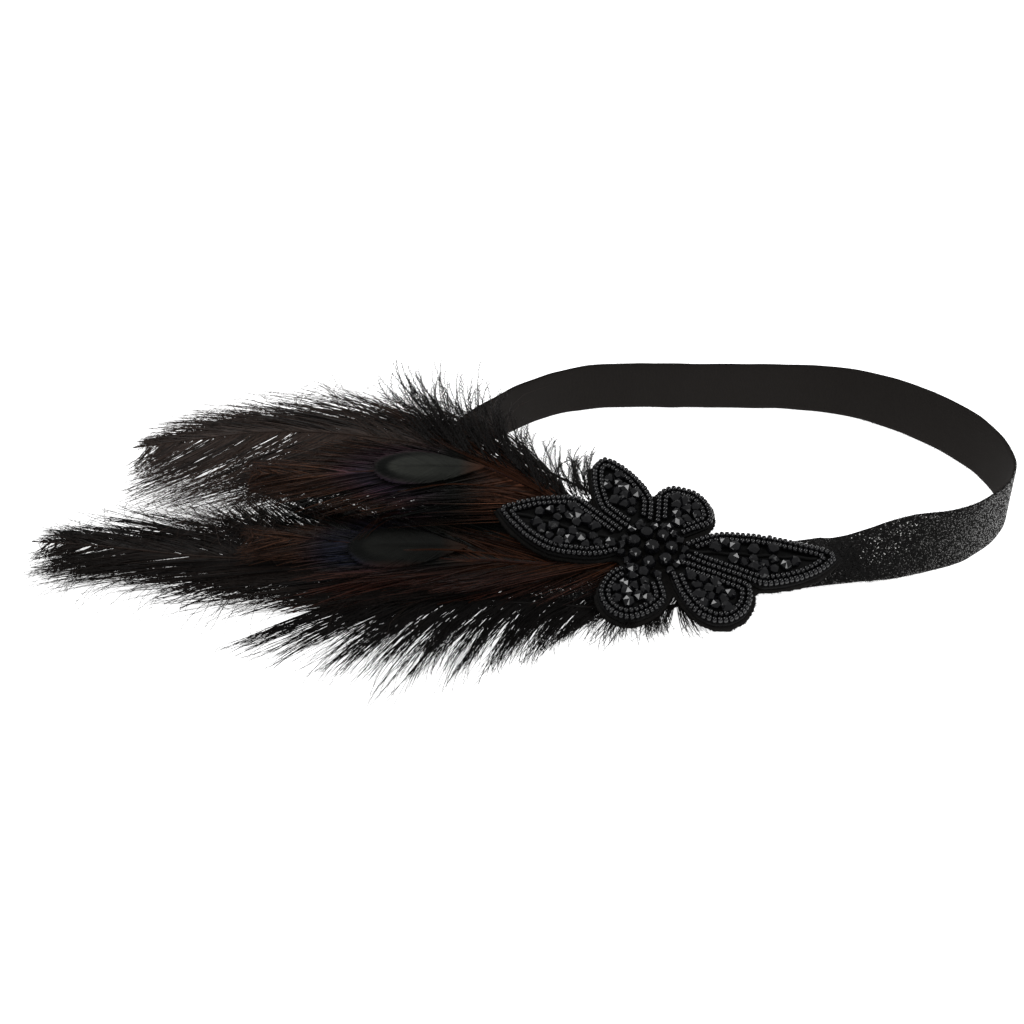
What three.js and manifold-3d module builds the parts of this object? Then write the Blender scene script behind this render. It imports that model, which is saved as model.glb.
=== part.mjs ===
// A flapper headband that lies on a table: a standing ribbon loop, a beaded flower sewn to its front,
// and a spray of feathers that lies to the left. Lengths are in mm, X runs along the loop's width,
// Y away from the viewer and Z up.
import * as THREE from "three";
import { mergeVertices } from "three/addons/utils/BufferGeometryUtils.js";
import Module from "manifold-3d";

const wasm = await Module();
wasm.setup();

// Driving dimensions: the elastic ribbon
const loopWidth = 207;
const loopDepth = 122;
const ribbonWidth = 20;
const ribbonThickness = 1.5;

// Driving dimensions: the flower, its place from the loop's centre and its tilt
const flowerLength = 112;
const flowerLeft = 27.2;
const flowerForward = 57.6;
const flowerHeight = 13;
const flowerTiltDegrees = 16;
const feltThickness = 1.5;
const feltMargin = 0.9;
const padThickness = 1.2;
const rimWidth = 4.6;
const rimHeight = 1.7;
const stoneSize = 3.6;
const stoneHeight = 2;
const stonePitch = 3.9;
const stoneFacets = 7;
const veinWidth = 1.2;
const hubRadius = 9.2;
const hubMargin = 2.7;
const rosetteRadius = 6.3;
const rosetteCount = 7;
const rosetteBeadSize = 4.9;
const centerBeadSize = 5.6;

// Driving dimensions: the feathers
const plumeReach = 210;
const peacockReach = 120;
const plumeVane = 46;
const peacockVane = 24;
const eyeLength = 37;
const eyeWidth = 23;
const quillSize = 1.8;
const plumeLockWidth = 12;
const peacockLockWidth = 9.5;
const fringeLockWidth = 8.5;
const lockThickness = 1.2;
const lowFeatherHeight = 10;
const crestClearance = 1.5;
const backFringeRise = 12;
const backFringeLength = 36;
const frontFringeLength = 42;

// Clearances
const gap = 0.3;

// Levels of the flower's layers along its own normal, from the beads' mid level down
const padTop = -0.8;
const padBottom = padTop - padThickness;
const feltTop = padBottom - gap;
const feltBottom = feltTop - feltThickness;
const quillLevel = feltBottom - gap - quillSize / 2;
const ribbonLevel = feltBottom - 2 * gap - quillSize - ribbonThickness / 2;

const radians = THREE.MathUtils.degToRad;
const flowerTilt = radians(flowerTiltDegrees);
const flowerCentre = new THREE.Vector3(-flowerLeft, -flowerForward, flowerHeight);
const crestHeight = ribbonWidth + crestClearance;
const goldenTurn = radians(137.5);
const weldDistance = 1e-4;

// Materials
const finish = (color, roughness, metalness = 0) =>
  new THREE.MeshStandardMaterial({ color, roughness, metalness });
const velvet = finish(0x17140f, 0.9);
const felt = finish(0x0c0b0b, 0.95);
const jet = finish(0x14151a, 0.15, 0.1);
const plumage = finish(0x1a120e, 0.8);
const iridescent = finish(0x1a1726, 0.45, 0.1);

// A point of the flower's plane, right and up the slope from its centre, in the model's frame
function onFlower(right, up, level) {
  const point = new THREE.Vector3(right, up, level);
  return point.applyAxisAngle(new THREE.Vector3(1, 0, 0), flowerTilt).add(flowerCentre);
}

// A closed solid from a closed geometry, and back
function solidOf(geometry) {
  const bare = geometry.clone();
  bare.deleteAttribute("normal");
  bare.deleteAttribute("uv");
  const merged = mergeVertices(bare, weldDistance);
  const vertProperties = new Float32Array(merged.attributes.position.array);
  const triVerts = new Uint32Array(merged.index.array);
  return new wasm.Manifold(new wasm.Mesh({ numProp: 3, vertProperties, triVerts }));
}

function geometryOf(solid) {
  const mesh = solid.getMesh();
  const geometry = new THREE.BufferGeometry();
  geometry.setAttribute("position", new THREE.BufferAttribute(new Float32Array(mesh.vertProperties), 3));
  geometry.setIndex(new THREE.BufferAttribute(new Uint32Array(mesh.triVerts), 1));
  geometry.computeVertexNormals();
  return geometry;
}

const fused = (solids) => solids.reduce((whole, solid) => whole.add(solid));

function named(name, geometry, material) {
  const mesh = new THREE.Mesh(geometry, material);
  mesh.name = name;
  return mesh;
}

// A skin over rings of points. Each ring turns the same way, and a closed run joins its last ring
// to its first, while an open one gets a fan at both ends.
function skin(rings, closedRun = false) {
  const sides = rings[0].length;
  const positions = rings.flat().flatMap((p) => [p.x, p.y, p.z]);
  const faces = [];
  const spans = closedRun ? rings.length : rings.length - 1;
  for (let i = 0; i < spans; i++) {
    const next = (i + 1) % rings.length;
    for (let j = 0; j < sides; j++) {
      const k = (j + 1) % sides;
      faces.push(i * sides + j, next * sides + j, next * sides + k);
      faces.push(i * sides + j, next * sides + k, i * sides + k);
    }
  }
  if (!closedRun) {
    const last = (rings.length - 1) * sides;
    for (let j = 1; j < sides - 1; j++) {
      faces.push(0, j, j + 1);
      faces.push(last, last + j + 1, last + j);
    }
  }
  const geometry = new THREE.BufferGeometry();
  geometry.setAttribute("position", new THREE.Float32BufferAttribute(positions, 3));
  geometry.setIndex(faces);
  return geometry;
}

// A level strip along a run of points, tapered by a function of the share of its length
function taperedStrip(points, widthAt, thicknessAt) {
  const up = new THREE.Vector3(0, 0, 1);
  const rings = points.map((point, i) => {
    const share = i / (points.length - 1);
    const ahead = points[Math.min(i + 1, points.length - 1)].clone();
    const way = ahead.sub(points[Math.max(i - 1, 0)]).normalize();
    const side = way.clone().cross(up).normalize();
    const top = side.clone().cross(way).normalize();
    const w = widthAt(share) / 2;
    const t = thicknessAt(share) / 2;
    return [
      point.clone().addScaledVector(side, w),
      point.clone().addScaledVector(top, t),
      point.clone().addScaledVector(side, -w),
      point.clone().addScaledVector(top, -t),
    ];
  });
  return solidOf(skin(rings));
}

// The ribbon: where its middle line runs round the free part of the loop, as shares of half the
// loop's width and depth, and how far its top edge leans inwards
const freeRibbon = [
  { across: 0.415, deep: -0.83, lean: 70 },
  { across: 0.51, deep: -0.815, lean: 54 },
  { across: 0.61, deep: -0.805, lean: 31 },
  { across: 0.705, deep: -0.78, lean: 15 },
  { across: 0.79, deep: -0.707, lean: 9 },
  { across: 0.88, deep: -0.58, lean: 5 },
  { across: 0.965, deep: -0.39, lean: 0 },
  { across: 1, deep: -0.14, lean: -5 },
  { across: 0.985, deep: 0.13, lean: -10 },
  { across: 0.93, deep: 0.37, lean: -15 },
  { across: 0.84, deep: 0.59, lean: -17 },
  { across: 0.72, deep: 0.78, lean: -14 },
  { across: 0.57, deep: 0.92, lean: -8 },
  { across: 0.38, deep: 0.985, lean: -2 },
  { across: 0.17, deep: 1, lean: 0 },
  { across: -0.04, deep: 1.005, lean: 0 },
  { across: -0.23, deep: 1.01, lean: 0 },
  { across: -0.4, deep: 0.985, lean: 0 },
  { across: -0.55, deep: 0.885, lean: 3 },
  { across: -0.68, deep: 0.72, lean: 3 },
  { across: -0.79, deep: 0.53, lean: 6 },
  { across: -0.89, deep: 0.34, lean: 12 },
  { across: -0.955, deep: 0.11, lean: 22 },
  { across: -0.96, deep: -0.15, lean: 35 },
  { across: -0.9, deep: -0.42, lean: 48 },
  { across: -0.78, deep: -0.68, lean: 60 },
];

// Behind the flower the ribbon lies in the flower's plane, placed by shares of the flower's length
const sewnRibbon = [
  { right: -0.36, up: -0.05 },
  { right: -0.14, up: -0.052 },
  { right: 0.07, up: -0.047 },
  { right: 0.25, up: -0.036 },
  { right: 0.4, up: -0.016 },
  { right: 0.53, up: 0.003 },
];
const ribbonSteps = 2;

// The height of the ribbon's middle line where its lower edge stands on the surface
function standing(lean) {
  return (ribbonWidth / 2) * Math.cos(lean) + (ribbonThickness / 2) * Math.abs(Math.sin(lean));
}

// Stations of four numbers: across, deep, the lean, and how far the ribbon is lifted off the surface
function ribbonStations() {
  const free = freeRibbon.map(({ across, deep, lean }) =>
    [(across * loopWidth) / 2, (deep * loopDepth) / 2, radians(lean), 0]);
  const sewnLean = Math.PI / 2 - flowerTilt;
  const sewn = sewnRibbon.map(({ right, up }) => {
    const p = onFlower(right * flowerLength, up * flowerLength, ribbonLevel);
    return [p.x, p.y, sewnLean, p.z - standing(sewnLean)];
  });
  return [...free, ...sewn];
}

// A smooth closed run through stations of four numbers
function smoothLoop(stations, steps) {
  const count = stations.length;
  const out = [];
  for (let i = 0; i < count; i++) {
    const [a, b, c, d] = [-1, 0, 1, 2].map((k) => stations[(i + k + count) % count]);
    for (let s = 0; s < steps; s++) {
      const t = s / steps;
      out.push(
        b.map((value, k) => {
          const bend = 2 * a[k] - 5 * value + 4 * c[k] - d[k];
          const twist = 3 * value - a[k] - 3 * c[k] + d[k];
          return 0.5 * (2 * value + (c[k] - a[k]) * t + bend * t * t + twist * t * t * t);
        }),
      );
    }
  }
  return out;
}

function makeBand() {
  const samples = smoothLoop(ribbonStations(), ribbonSteps);
  const rings = samples.map(([x, y, lean, lift], i) => {
    const z = standing(lean) + Math.max(lift, 0);
    const [x1, y1] = samples[(i + 1) % samples.length];
    const [x0, y0] = samples[(i + samples.length - 1) % samples.length];
    const way = new THREE.Vector3(x1 - x0, y1 - y0, 0).normalize();
    const inward = new THREE.Vector3(-way.y, way.x, 0);
    const rise = new THREE.Vector3(0, 0, Math.cos(lean)).addScaledVector(inward, Math.sin(lean));
    const face = rise.clone().cross(way);
    const corner = (w, t) =>
      new THREE.Vector3(x, y, z)
        .addScaledVector(rise, (w * ribbonWidth) / 2)
        .addScaledVector(face, (t * ribbonThickness) / 2);
    return [corner(-1, -1), corner(1, -1), corner(1, 1), corner(-1, 1)];
  });
  return named("elastic_band", skin(rings, true), velvet);
}

// The petals: the way each points, and its reach from the centre and its full width as shares of the
// flower's length. Its sections run from the hub to the tip: out is a share of the reach, left and
// right are shares of the width, seen from the centre.
const petalTable = [
  {
    name: "left_leaf", way: 160.7, reach: 0.482, width: 0.232, veined: true,
    sections: [
      { out: 0.17, left: 0.17, right: 0.2 },
      { out: 0.3, left: 0.36, right: 0.43 },
      { out: 0.46, left: 0.45, right: 0.53 },
      { out: 0.6, left: 0.47, right: 0.51 },
      { out: 0.76, left: 0.36, right: 0.38 },
      { out: 0.9, left: 0.18, right: 0.19 },
      { out: 1, left: 0, right: 0 },
    ],
  },
  {
    name: "top_petal", way: 109, reach: 0.388, width: 0.17, veined: false,
    sections: [
      { out: 0.21, left: 0.22, right: 0.2 },
      { out: 0.4, left: 0.5, right: 0.45 },
      { out: 0.58, left: 0.51, right: 0.46 },
      { out: 0.75, left: 0.44, right: 0.37 },
      { out: 0.92, left: 0.28, right: 0.18 },
      { out: 1, left: 0.03, right: 0 },
    ],
  },
  {
    name: "top_right_petal", way: 57, reach: 0.268, width: 0.205, veined: false,
    sections: [
      { out: 0.31, left: 0.2, right: 0.2 },
      { out: 0.5, left: 0.4, right: 0.42 },
      { out: 0.7, left: 0.46, right: 0.5 },
      { out: 0.86, left: 0.4, right: 0.38 },
      { out: 0.96, left: 0.24, right: 0.2 },
      { out: 1, left: 0, right: 0 },
    ],
  },
  {
    name: "right_leaf", way: -4.5, reach: 0.545, width: 0.196, veined: true,
    sections: [
      { out: 0.151, left: 0.12, right: 0.1 },
      { out: 0.34, left: 0.38, right: 0.42 },
      { out: 0.5, left: 0.4, right: 0.58 },
      { out: 0.65, left: 0.37, right: 0.56 },
      { out: 0.8, left: 0.28, right: 0.42 },
      { out: 0.92, left: 0.2, right: 0.2 },
      { out: 1, left: 0.06, right: -0.06 },
    ],
  },
  {
    name: "bottom_right_petal", way: -45, reach: 0.344, width: 0.196, veined: false,
    sections: [
      { out: 0.24, left: 0.12, right: 0.12 },
      { out: 0.42, left: 0.36, right: 0.32 },
      { out: 0.6, left: 0.53, right: 0.44 },
      { out: 0.75, left: 0.58, right: 0.47 },
      { out: 0.88, left: 0.46, right: 0.4 },
      { out: 0.97, left: 0.24, right: 0.22 },
      { out: 1, left: 0, right: 0 },
    ],
  },
  {
    name: "bottom_left_petal", way: -112, reach: 0.277, width: 0.1875, veined: false,
    sections: [
      { out: 0.3, left: 0.28, right: 0.28 },
      { out: 0.45, left: 0.5, right: 0.46 },
      { out: 0.6, left: 0.52, right: 0.51 },
      { out: 0.76, left: 0.44, right: 0.5 },
      { out: 0.9, left: 0.28, right: 0.36 },
      { out: 0.97, left: 0.14, right: 0.2 },
      { out: 1, left: 0, right: 0 },
    ],
  },
];
const petals = petalTable.map((petal) => ({
  ...petal,
  reach: petal.reach * flowerLength,
  width: petal.width * flowerLength,
}));
const outlineSteps = 2;
const slimmest = 0.5;
const tipInsetShare = 1.4;

// How wide one side of a petal may be at a distance from the centre, half way to its neighbour
function roomBeside(petal, side, out, inset) {
  const sign = side === "left" ? 1 : -1;
  const turns = petals.map(({ way }) => (((sign * (way - petal.way)) % 360) + 360) % 360);
  const half = radians(Math.min(...turns.filter((turn) => turn > 0)) / 2);
  return half > Math.PI / 2 ? Infinity : out * Math.tan(half) - (gap / 2 + inset) / Math.cos(half);
}

// One side of a petal's outline, from hub to tip, drawn in by an inset, in the flower's plane
function petalSide(petal, side, inset) {
  const sign = side === "left" ? 1 : -1;
  const first = petal.sections[0].out * petal.reach;
  const span = petal.reach - first;
  const tipInset = inset * tipInsetShare;
  const squeeze = (span - inset - tipInset) / span;
  const controls = petal.sections.map((section, i) => {
    const out = first + inset + (section.out * petal.reach - first) * squeeze;
    const isTip = i === petal.sections.length - 1;
    const wide = section[side] * petal.width;
    return new THREE.Vector2(out, isTip ? wide : Math.max(wide - inset, slimmest));
  });
  const way = radians(petal.way);
  const points = new THREE.SplineCurve(controls).getPoints(outlineSteps * (controls.length - 1));
  return points.map((p, i) => {
    const room = inset < 0 ? Infinity : Math.max(roomBeside(petal, side, p.x, inset), slimmest);
    const least = inset > 0 && i < points.length - 1 ? slimmest : -Infinity;
    const wide = sign * Math.min(Math.max(p.y, least), room);
    return new THREE.Vector2(p.x, wide).rotateAround(new THREE.Vector2(), way);
  });
}

function petalShape(petal, inset) {
  const right = petalSide(petal, "right", inset);
  const left = petalSide(petal, "left", inset).slice(0, -1).reverse();
  return new THREE.Shape([...right, ...left]);
}

function slab(shape, bottom, top) {
  const geometry = new THREE.ExtrudeGeometry(shape, { depth: top - bottom, bevelEnabled: false });
  return solidOf(geometry.translate(0, 0, bottom));
}

// Half widths of a petal at a distance from the centre
function widthAt(petal, out, side) {
  const { sections, reach, width } = petal;
  const i = Math.max(1, sections.findIndex((section) => section.out * reach >= out));
  const [near, far] = [sections[i - 1], sections[i]];
  const share = (out / reach - near.out) / (far.out - near.out);
  return THREE.MathUtils.lerp(near[side], far[side], THREE.MathUtils.clamp(share, 0, 1)) * width;
}

// The stones' places in a petal: rows across it, full from edge to edge, and clear of a leaf's vein.
// The girdles of the outer stones come a little under the rim, and the tip has more room.
const edgeRoom = 0.46 * stoneSize;
const tipRoom = 1.3;
const rowPitch = 0.95 * stonePitch;

function stonePlaces(petal) {
  const margin = rimWidth + edgeRoom;
  const first = petal.sections[0].out * petal.reach + margin;
  const rows = Math.floor((petal.reach - margin * tipRoom - first) / rowPitch) + 1;
  const vein = petal.veined ? (veinWidth + stoneSize) / 2 : 0;
  const places = [];
  for (let row = 0; row < rows; row++) {
    const out = first + row * rowPitch;
    const left = widthAt(petal, out, "left") - margin;
    const right = widthAt(petal, out, "right") - margin;
    const ranges = petal.veined ? [[vein, left], [-right, -vein]] : [[-right, left]];
    for (const [low, high] of ranges) {
      if (high < low) continue;
      const count = Math.floor((high - low) / stonePitch) + 1;
      const middle = (low + high) / 2;
      for (let k = 0; k < count; k++) {
        places.push({ out, side: middle + (k - (count - 1) / 2) * stonePitch });
      }
    }
  }
  return places;
}

// The radius of the flat table of a stone or bead, and half a bead's height, as shares of its size
const tableShare = 0.28;
const beadHalfShare = 0.42;

// A table-cut stone, sunk a little into what holds it
function stone(size, height, sunk) {
  const crown = new THREE.CylinderGeometry(size * tableShare, size / 2, height + sunk, stoneFacets, 1);
  return crown.rotateX(Math.PI / 2).translate(0, 0, (height - sunk) / 2);
}

const stoneSunk = padThickness / 3;

function makePetal(petal) {
  const rimTop = padTop + rimHeight;
  const well = slab(petalShape(petal, rimWidth), padTop, rimTop + gap);
  const pad = slab(petalShape(petal, 0), padBottom, rimTop).subtract(well);
  const way = radians(petal.way);
  const stones = stonePlaces(petal).map(({ out, side }, i) => {
    const place = new THREE.Vector2(out, side).rotateAround(new THREE.Vector2(), way);
    const cut = stone(stoneSize, stoneHeight, stoneSunk).rotateZ(i * goldenTurn);
    return solidOf(cut.translate(place.x, place.y, padTop));
  });
  return named(petal.name, geometryOf(fused([pad, ...stones])), jet);
}

const hubSegments = 12;

function makeFelt() {
  const grown = petals.map((petal) => slab(petalShape(petal, -feltMargin), feltBottom, feltTop));
  const disc = new THREE.Shape().absarc(0, 0, hubRadius + hubMargin, 0, 2 * Math.PI);
  const plate = { depth: feltThickness, bevelEnabled: false, curveSegments: hubSegments };
  const hub = solidOf(new THREE.ExtrudeGeometry(disc, plate).translate(0, 0, feltBottom));
  return named("felt_backing", geometryOf(fused([hub, ...grown])), felt);
}

// A faceted bead: a flat table above and below, with a row of facets to each
function bead(name, size, place) {
  const half = size * beadHalfShare;
  const table = size * tableShare;
  const profile = [[0, -half], [table, -half], [size / 2, 0], [table, half], [0, half]];
  const geometry = new THREE.LatheGeometry(profile.map(([x, y]) => new THREE.Vector2(x, y)), stoneFacets);
  const mesh = named(name, geometry.rotateX(Math.PI / 2), jet);
  mesh.position.set(place.x, place.y, feltTop + gap + half);
  return mesh;
}

function makeRosette() {
  const beads = [bead("center_bead", centerBeadSize, new THREE.Vector2())];
  for (let i = 0; i < rosetteCount; i++) {
    const place = new THREE.Vector2(rosetteRadius, 0).rotateAround(
      new THREE.Vector2(), (i * 2 * Math.PI) / rosetteCount);
    const mesh = bead(`rosette_bead_${i + 1}`, rosetteBeadSize, place);
    mesh.rotation.z = i * goldenTurn;
    beads.push(mesh);
  }
  return beads;
}

// The feathers. Each quill starts under the flower, at shares of the flower's length, and then runs
// left: out and back are shares of the feather's reach from the flower's centre, high is a share of the
// feather's own height. The vane's locks reach back and forward by shares of the vane's width.
const longPlumes = [
  {
    name: "long_plume_upper", height: crestHeight,
    rooted: [{ right: -0.06, up: 0.12 }, { right: -0.15, up: 0.2 }],
    quill: [
      { out: 0.14, back: 0.152, high: 0.62 },
      { out: 0.2, back: 0.19, high: 0.74 },
      { out: 0.27, back: 0.226, high: 0.87 },
      { out: 0.34, back: 0.245, high: 0.97 },
      { out: 0.43, back: 0.268, high: 1 },
      { out: 0.54, back: 0.295, high: 0.97 },
      { out: 0.65, back: 0.315, high: 0.87 },
      { out: 0.77, back: 0.335, high: 0.62 },
      { out: 0.89, back: 0.348, high: 0.38 },
    ],
    locks: [
      { from: 0.3, sweep: 0.12, back: 0.84, front: 0.5, rise: 1 },
      { from: 0.38, sweep: 0.16, back: 0.86, front: 0.74, rise: 1 },
      { from: 0.46, sweep: 0.18, back: 0.8, front: 0.9, rise: 0.5 },
      { from: 0.54, sweep: 0.19, back: 0.74, front: 1, rise: 0 },
      { from: 0.62, sweep: 0.19, back: 0.62, front: 1, rise: 0 },
      { from: 0.7, sweep: 0.13, back: 0.44, front: 0.84, rise: 0 },
      { from: 0.77, sweep: 0.11, back: 0.36, front: 0.72, rise: 0 },
      { from: 0.84, sweep: 0.08, back: 0.2, front: 0.42, rise: 0 },
    ],
  },
  {
    name: "long_plume_lower", height: lowFeatherHeight,
    rooted: [{ right: -0.05, up: -0.055 }, { right: -0.2, up: -0.05 }],
    quill: [
      { out: 0.19, back: -0.02, high: 0.62 },
      { out: 0.32, back: -0.021, high: 0.65 },
      { out: 0.49, back: 0.006, high: 0.62 },
      { out: 0.62, back: 0.018, high: 0.58 },
      { out: 0.73, back: 0.03, high: 0.55 },
      { out: 0.82, back: 0.05, high: 0.5 },
      { out: 0.91, back: 0.07, high: 0.42 },
      { out: 1, back: 0.088, high: 0.3 },
    ],
    locks: [
      { from: 0.36, sweep: 0.2, back: 0.44, front: 0.52, rise: 0 },
      { from: 0.44, sweep: 0.2, back: 0.56, front: 0.56, rise: 0 },
      { from: 0.53, sweep: 0.2, back: 0.54, front: 0.52, rise: 0 },
      { from: 0.62, sweep: 0.2, back: 0.56, front: 0.46, rise: 0 },
      { from: 0.71, sweep: 0.19, back: 0.52, front: 0.42, rise: 0 },
      { from: 0.8, sweep: 0.17, back: 0.36, front: 0.4, rise: 0 },
      { from: 0.88, sweep: 0.12, back: 0.2, front: 0.36, rise: 0 },
    ],
  },
];

const peacockFeathers = [
  {
    name: "peacock_feather_upper", height: crestHeight, eyeAt: 0.64,
    rooted: [{ right: -0.05, up: 0.06 }, { right: -0.14, up: 0.13 }],
    quill: [
      { out: 0.24, back: 0.208, high: 0.66 },
      { out: 0.36, back: 0.27, high: 0.84 },
      { out: 0.48, back: 0.308, high: 1.03 },
      { out: 0.64, back: 0.268, high: 1.12 },
      { out: 0.78, back: 0.248, high: 1.13 },
      { out: 0.95, back: 0.25, high: 1.07 },
    ],
    locks: [
      { from: 0.24, sweep: 0.16, back: 0.3, front: 0.3, rise: 0 },
      { from: 0.36, sweep: 0.17, back: 0.46, front: 0.6, rise: 0 },
      { from: 0.48, sweep: 0.18, back: 0.74, front: 0.76, rise: 0 },
      { from: 0.6, sweep: 0.2, back: 1.06, front: 0.82, rise: 0 },
      { from: 0.72, sweep: 0.22, back: 1.1, front: 0.8, rise: 0 },
      { from: 0.84, sweep: 0.2, back: 0.8, front: 0.5, rise: 0 },
      { from: 0.93, sweep: 0.18, back: 0.36, front: 0.2, rise: 0 },
    ],
  },
  {
    name: "peacock_feather_lower", height: lowFeatherHeight, eyeAt: 0.69,
    rooted: [{ right: -0.04, up: 0 }, { right: -0.16, up: -0.008 }],
    quill: [
      { out: 0.31, back: -0.012, high: 0.78 },
      { out: 0.44, back: -0.026, high: 1.02 },
      { out: 0.57, back: -0.03, high: 1.12 },
      { out: 0.69, back: 0.012, high: 1.22 },
      { out: 0.82, back: 0.03, high: 1.24 },
      { out: 0.94, back: 0.06, high: 1.18 },
    ],
    locks: [
      { from: 0.3, sweep: 0.17, back: 0.62, front: 0.54, rise: 0 },
      { from: 0.42, sweep: 0.18, back: 0.86, front: 0.72, rise: 0 },
      { from: 0.54, sweep: 0.18, back: 0.98, front: 0.8, rise: 0 },
      { from: 0.66, sweep: 0.19, back: 0.9, front: 0.8, rise: 0 },
      { from: 0.78, sweep: 0.18, back: 0.66, front: 0.76, rise: 0 },
      { from: 0.88, sweep: 0.16, back: 0.3, front: 0.4, rise: 0 },
    ],
  },
];

const quillSteps = 10;
const vaneSteps = 3;
const fringeSteps = 2;
const fineSteps = 200;

// How much a quill thins to its tip, and how thick a fringe's quill is, as shares of the quill's size
const quillTaper = 0.6;
const fringeQuill = 0.8;

// A lock's width at its root, how far along its swelling its tip comes, how much it thins, and how far
// it bends along the quill, all as shares
const lockRoot = 0.2;
const lockSwell = 0.78;
const lockThinning = 0.75;
const lockBend = 0.18;

// How far the tips of a vane's locks droop in front of and behind the quill, as shares of its height,
// and how far a rising lock's tip behind the quill lifts for each unit of rise
const frontDroop = 0.16;
const backDroop = 0.06;
const backLift = 2;

// A quill's middle line: under the flower first, then free
function quillCurve(feather, reach) {
  const rooted = feather.rooted.map(({ right, up }) =>
    onFlower(right * flowerLength, up * flowerLength, quillLevel));
  const free = feather.quill.map(({ out, back, high }) => new THREE.Vector3(
    flowerCentre.x - out * reach, flowerCentre.y + back * reach, high * feather.height));
  return new THREE.CatmullRomCurve3([...rooted, ...free], false, "centripetal");
}

// The point of a curve at a distance left of the flower's centre
function atOut(points, distance) {
  const x = flowerCentre.x - distance;
  const i = points.findIndex((p) => p.x <= x);
  if (i < 1) return points[points.length - 1].clone();
  const share = (points[i - 1].x - x) / (points[i - 1].x - points[i].x);
  return points[i - 1].clone().lerp(points[i], share);
}

// A lock of barbs that leaves its root along the quill and bends outwards to its tip
function lock(root, tip, width, steps) {
  const middle = root.clone().lerp(tip, 0.5);
  middle.x -= Math.abs(tip.y - root.y) * lockBend;
  const curve = new THREE.QuadraticBezierCurve3(root, middle, tip);
  const spread = (share) => {
    const swell = Math.sin(Math.PI * (lockRoot + lockSwell * share));
    return width * (lockRoot + (1 - lockRoot) * swell);
  };
  const thickness = (share) => lockThickness * (1 - lockThinning * share);
  return taperedStrip(curve.getPoints(steps), spread, thickness);
}

function feather(kind, reach, vane, lockWidth, extras) {
  const curve = quillCurve(kind, reach);
  const points = curve.getPoints(quillSteps);
  const fine = curve.getPoints(fineSteps);
  const taper = (share) => quillSize * (1 - quillTaper * share);
  const solids = [taperedStrip(points, taper, taper)];
  for (const { from, sweep, back, front, rise } of kind.locks) {
    const root = atOut(fine, from * reach);
    for (const [wide, lift] of [[back, rise * backLift], [-front, -rise]]) {
      const tip = atOut(fine, (from + sweep) * reach);
      tip.x = flowerCentre.x - (from + sweep) * reach;
      tip.y += wide * vane;
      tip.z += lift - (wide < 0 ? frontDroop : backDroop) * kind.height;
      solids.push(lock(root, tip, lockWidth, vaneSteps));
    }
  }
  return named(kind.name, geometryOf(fused([...solids, ...extras(fine)])), kind.eyeAt ? iridescent : plumage);
}

// The eye of a peacock feather: a thin dense oval round the quill
const eyeHalfThickness = 0.8 * lockThickness;
const eyeSegments = [12, 5];

function eye(kind, fine) {
  const place = atOut(fine, kind.eyeAt * peacockReach);
  const oval = new THREE.SphereGeometry(1, ...eyeSegments).rotateX(Math.PI / 2);
  oval.scale(eyeLength / 2, eyeWidth / 2, eyeHalfThickness);
  return solidOf(oval.translate(place.x, place.y, place.z));
}

// The fringes: short fluffy locks on a quill. Roots and tips are placed from the flower's centre by
// shares of the peacock feather's reach; reach and drop of each tip are shares of the fringe's length.
const backFringe = {
  name: "fringe_upper",
  rooted: [{ right: -0.02, up: 0.15 }, { right: -0.13, up: 0.235 }],
  quill: [
    { out: 0.24, back: 0.285, high: 0.87 },
    { out: 0.36, back: 0.37, high: 0.98 },
    { out: 0.48, back: 0.44, high: 1.07 },
    { out: 0.6, back: 0.5, high: 1.14 },
  ],
  locks: [
    { from: 0.16, left: 0.02, back: 0.46, rise: 0.35 },
    { from: 0.2, left: 0.1, back: 0.6, rise: 0.4 },
    { from: 0.25, left: 0.16, back: 0.72, rise: 0.4 },
    { from: 0.3, left: 0.22, back: 0.82, rise: 0.45 },
    { from: 0.35, left: 0.3, back: 0.94, rise: 0.6 },
    { from: 0.4, left: 0.32, back: 1, rise: 0.75 },
    { from: 0.45, left: 0.36, back: 0.92, rise: 0.7 },
    { from: 0.5, left: 0.4, back: 0.96, rise: 0.8 },
    { from: 0.55, left: 0.48, back: 0.86, rise: 0.7 },
    { from: 0.6, left: 0.6, back: 0.76, rise: 0.7 },
  ],
};

const frontFringe = {
  name: "fringe_lower",
  rooted: [{ right: 0.14, up: -0.15 }],
  quill: [
    { out: 0, back: -0.155, high: 0.17 },
    { out: 0.15, back: -0.15, high: 0.19 },
    { out: 0.3, back: -0.14, high: 0.28 },
    { out: 0.45, back: -0.142, high: 0.36 },
    { out: 0.6, back: -0.14, high: 0.36 },
    { out: 0.7, back: -0.14, high: 0.33 },
  ],
  locks: [
    { from: -0.06, left: 0, back: -0.22, rise: -0.12 },
    { from: 0.01, left: 0.2, back: -0.18, rise: -0.1 },
    { from: 0.1, left: 0.42, back: -0.4, rise: -0.13 },
    { from: 0.15, left: 0.46, back: -0.58, rise: -0.14 },
    { from: 0.22, left: 0.48, back: -0.66, rise: -0.18 },
    { from: 0.3, left: 0.5, back: -0.72, rise: -0.22 },
    { from: 0.38, left: 0.58, back: -0.76, rise: -0.26 },
    { from: 0.46, left: 0.66, back: -0.8, rise: -0.26 },
    { from: 0.54, left: 0.78, back: -0.86, rise: -0.26 },
    { from: 0.61, left: 0.96, back: -0.74, rise: -0.26 },
    { from: 0.66, left: 1.12, back: -0.6, rise: -0.25 },
    { from: 0.7, left: 1.26, back: -0.5, rise: -0.23 },
  ],
};

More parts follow.
